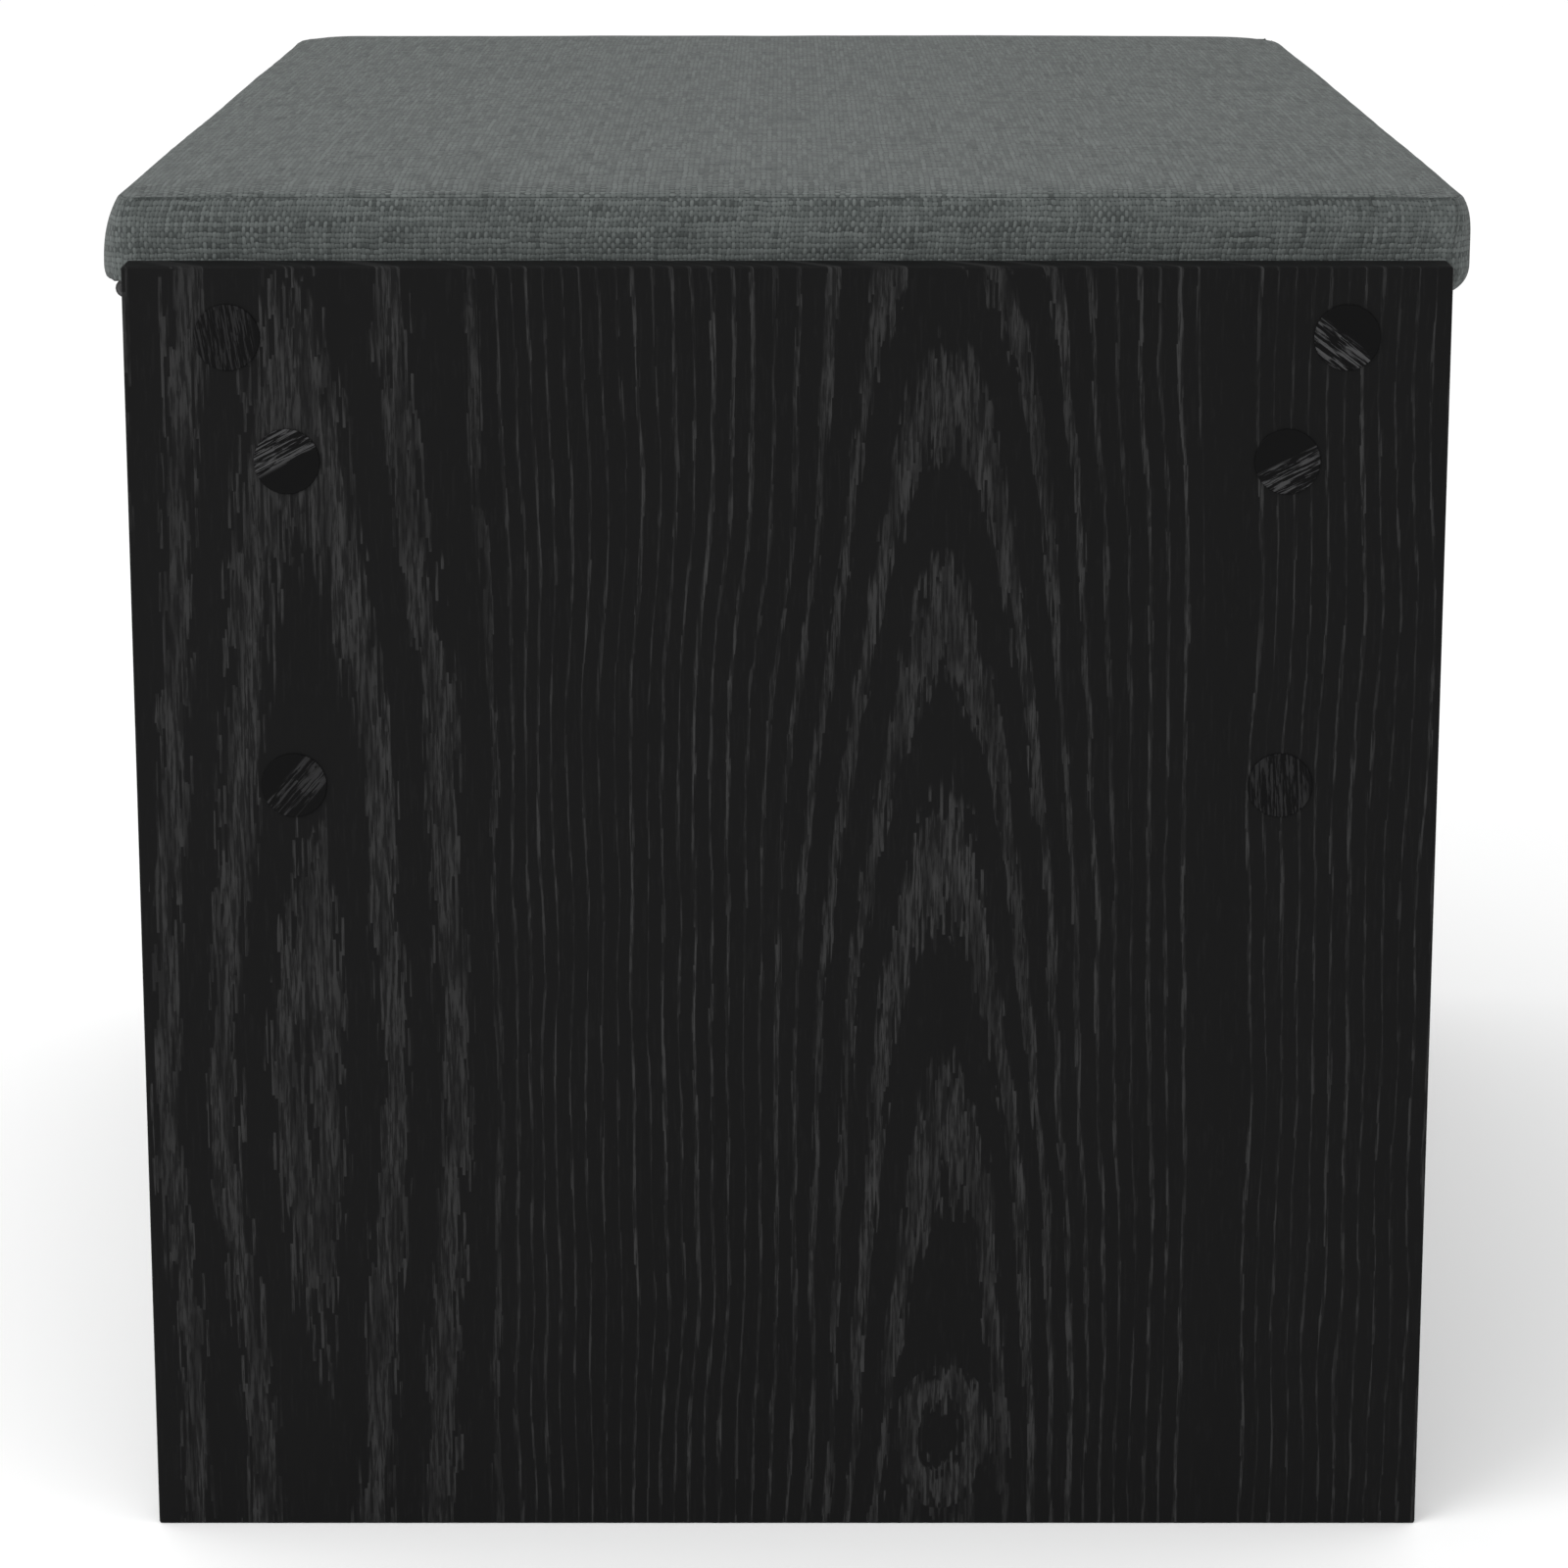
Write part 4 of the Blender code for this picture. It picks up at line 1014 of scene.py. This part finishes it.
def stapleNodes():
    tree, source, sink = newNodes("staplesRound", [
        ("Shape", "NodeSocketObject"), ("Material", "NodeSocketMaterial"), ("Length", "NodeSocketFloat"),
        ("Width", "NodeSocketFloat"), ("Pitch", "NodeSocketFloat"), ("Level", "NodeSocketFloat"),
        ("Centre", "NodeSocketFloat"), ("Stray", "NodeSocketFloat"), ("Seed", "NodeSocketInt")])
    loop = addNode(tree, "GeometryNodeCurvePrimitiveQuadrilateral",
                   {"Width": source["Length"], "Height": source["Width"]}, mode="RECTANGLE")
    spaced = addNode(tree, "GeometryNodeResampleCurve",
                     {"Curve": loop.outputs[0], "Length": source["Pitch"]}, mode="LENGTH")
    tangent = addNode(tree, "GeometryNodeInputTangent").outputs[0]
    wobble = addNode(tree, "FunctionNodeRandomValue", {"Seed": source["Seed"]}, data_type="FLOAT_VECTOR")
    wobble.inputs["Min"].default_value = (-0.12, -0.12, 0.0)
    wobble.inputs["Max"].default_value = (0.12, 0.12, 0.0)
    heading = addNode(tree, "ShaderNodeVectorMath", {0: tangent, 1: wobble.outputs[0]}, operation="ADD")
    turned = addNode(tree, "FunctionNodeAlignRotationToVector", {"Vector": heading.outputs[0]}, axis="X")
    strays = addNode(tree, "ShaderNodeVectorMath", {0: wobble.outputs[0]}, operation="SCALE")
    feed(tree, strays.inputs["Scale"], source["Stray"])
    shifted = addNode(tree, "GeometryNodeSetPosition",
                      {"Geometry": spaced.outputs[0], "Offset": strays.outputs[0]})
    placeShapes(tree, source, sink, shifted.outputs[0], turned.outputs[0])
    return tree


def screwNodes():
    tree, source, sink = newNodes("bracketScrews", [
        ("Shape", "NodeSocketObject"), ("Material", "NodeSocketMaterial"), ("Apart", "NodeSocketFloat"),
        ("Spacing", "NodeSocketFloat"), ("Level", "NodeSocketFloat"), ("Centre", "NodeSocketFloat")])
    corners = addNode(tree, "GeometryNodeMeshGrid",
                      {"Size X": source["Apart"], "Size Y": source["Spacing"],
                       "Vertices X": 2, "Vertices Y": 2})
    placeShapes(tree, source, sink, corners.outputs[0])
    return tree


def grow(name, tree, values):
    # runs a tree on an empty mesh and keeps the result as a plain mesh
    helper = linkItem(name + "Helper", bpy.data.meshes.new(name + "Helper"))
    modifier = helper.modifiers.new(name, "NODES")
    modifier.node_group = tree
    for item in tree.interface.items_tree:
        if item.item_type == "SOCKET" and item.in_out == "INPUT":
            modifier[item.identifier] = values[item.name]
    graph = bpy.context.evaluated_depsgraph_get()
    mesh = bpy.data.meshes.new_from_object(helper.evaluated_get(graph))
    bpy.data.objects.remove(helper, do_unlink=True)
    piece = linkItem(name, mesh)
    mesh.shade_smooth()
    mesh.set_sharp_from_angle(angle=math.radians(35))
    return piece


def makeTape():
    # a thin tape closes the cloth over the hinges
    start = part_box("hinge_lid_leaf_left")[1].y - underside["tapeLap"]
    z = coverLow.z + cushion["rebateHeight"] - 0.0001
    half = coverHigh.x - underside["tapeShort"]
    columns = 120
    bm = bmesh.new()
    rows = []
    for column in range(columns + 1):
        x = -half + 2 * half * column / columns
        stop = turnedIn(x, coverHigh.x, coverHigh.y, cushion["turnIn"][0]) - underside["tapeBack"]
        ripple = 0.00012 * noise.noise(Vector((x * 60, 0, 8)))
        rows.append([bm.verts.new((x, start + (stop - start) * share, z + ripple * share))
                     for share in (0, 0.35, 0.7, 1)])
    for first, second in zip(rows, rows[1:]):
        for index in range(3):
            bm.faces.new((first[index], first[index + 1], second[index + 1], second[index]))
    piece = linkItem("rearTape", meshFrom("rearTape", bm))
    if piece.data.polygons[0].normal.z < 0:
        piece.data.flip_normals()
    shell = piece.modifiers.new("tapeThickness", "SOLIDIFY")
    shell.thickness = underside["tapeThickness"]
    shell.offset = -1
    piece.data.materials.append(nonwoven)
    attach(piece, "lid")


def makeUnderside():
    low, high = makeDustSheet()
    inset = underside["stapleInset"]
    shape = stapleShape()
    staples = grow("staples", stapleNodes(), {
        "Shape": shape, "Material": zinc, "Length": high.x - low.x - 2 * inset,
        "Width": high.y - low.y - 2 * inset, "Pitch": underside["staplePitch"],
        "Level": low.z - underside["stapleWire"] * 0.4, "Centre": (low.y + high.y) / 2,
        "Stray": 0.004, "Seed": 5})
    bpy.data.objects.remove(shape, do_unlink=True)
    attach(staples, "lid")

    bracketLow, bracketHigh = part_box("stay_bracket_left")
    shape = screwShape()
    screws = grow("bracketScrews", screwNodes(), {
        "Shape": shape, "Material": zinc, "Apart": -(bracketLow.x + bracketHigh.x),
        "Spacing": (bracketHigh.y - bracketLow.y) / 2, "Level": bracketHigh.z - underside["bracketThickness"],
        "Centre": (bracketLow.y + bracketHigh.y) / 2})
    bpy.data.objects.remove(shape, do_unlink=True)
    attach(screws, "lid")
    makeTape()


nonwoven = mattMaterial("blackNonwoven", (0.010, 0.010, 0.011, 1), (0.026, 0.026, 0.028, 1),
                        0.9, 1500, 0.00012, specular=0.15)
makeUnderside()
print("underside made")


# stage, light and camera

stage = {
    "floor": (0.96, 0.96, 0.96, 1.0),
    "sky": 1.04,
    "key": 24.0,
    "top": 5.0,
    "front": 5.0,
    "lens": 105.6,
    "shift": -0.092,
    "eyePoint": (-1.75, 0.001, 0.618),
    "downwards": 12.35,      # degrees below level
}


def makeStage():
    mesh = bpy.data.meshes.new("floor")
    reach = 14.0
    mesh.from_pydata([(-reach, -reach, 0), (reach, -reach, 0), (reach, reach, 0), (-reach, reach, 0)],
                     [], [(0, 1, 2, 3)])
    floor = linkItem("floor", mesh)
    material, tree, shader = newMaterial("paleFloor")
    shader.inputs["Base Color"].default_value = stage["floor"]
    shader.inputs["Roughness"].default_value = 0.9
    shader.inputs["Specular IOR Level"].default_value = 0.0
    mesh.materials.append(material)


def addLight(name, place, target, size, power):
    lamp = bpy.data.lights.new(name, "AREA")
    lamp.shape = "RECTANGLE"
    lamp.size, lamp.size_y = size
    lamp.energy = power
    item = linkItem(name, lamp)
    item.location = place
    item.rotation_euler = (Vector(target) - Vector(place)).to_track_quat("-Z", "Y").to_euler()


def makeLight():
    world = bpy.data.worlds.new("studio")
    world.use_nodes = True
    sky = world.node_tree.nodes["Background"].inputs
    sky["Color"].default_value = (1, 1, 1, 1)
    sky["Strength"].default_value = stage["sky"]
    bpy.context.scene.world = world
    addLight("keyLight", (-1.6, 1.6, 1.7), (0, 0, 0.3), (1.6, 1.2), stage["key"])
    addLight("frontLight", (-2.6, 0.3, 1.3), (-0.5, 0, 0.1), (2.0, 1.2), stage["front"])
    addLight("topLight", (0.2, 0.2, 2.4), (0, 0, 0.4), (2.0, 2.0), stage["top"])


def makeCamera():
    camera = bpy.data.cameras.new("camera")
    camera.sensor_width = 36.0
    camera.lens = stage["lens"]
    camera.shift_y = stage["shift"]
    camera.clip_start = 0.05
    item = linkItem("camera", camera)
    item.location = stage["eyePoint"]
    item.rotation_euler = (math.radians(90 - stage["downwards"]), 0, math.radians(-90))
    bpy.context.scene.camera = item


makeStage()
makeLight()
makeCamera()
bpy.context.scene.view_settings.view_transform = "Standard"
print("stage made")
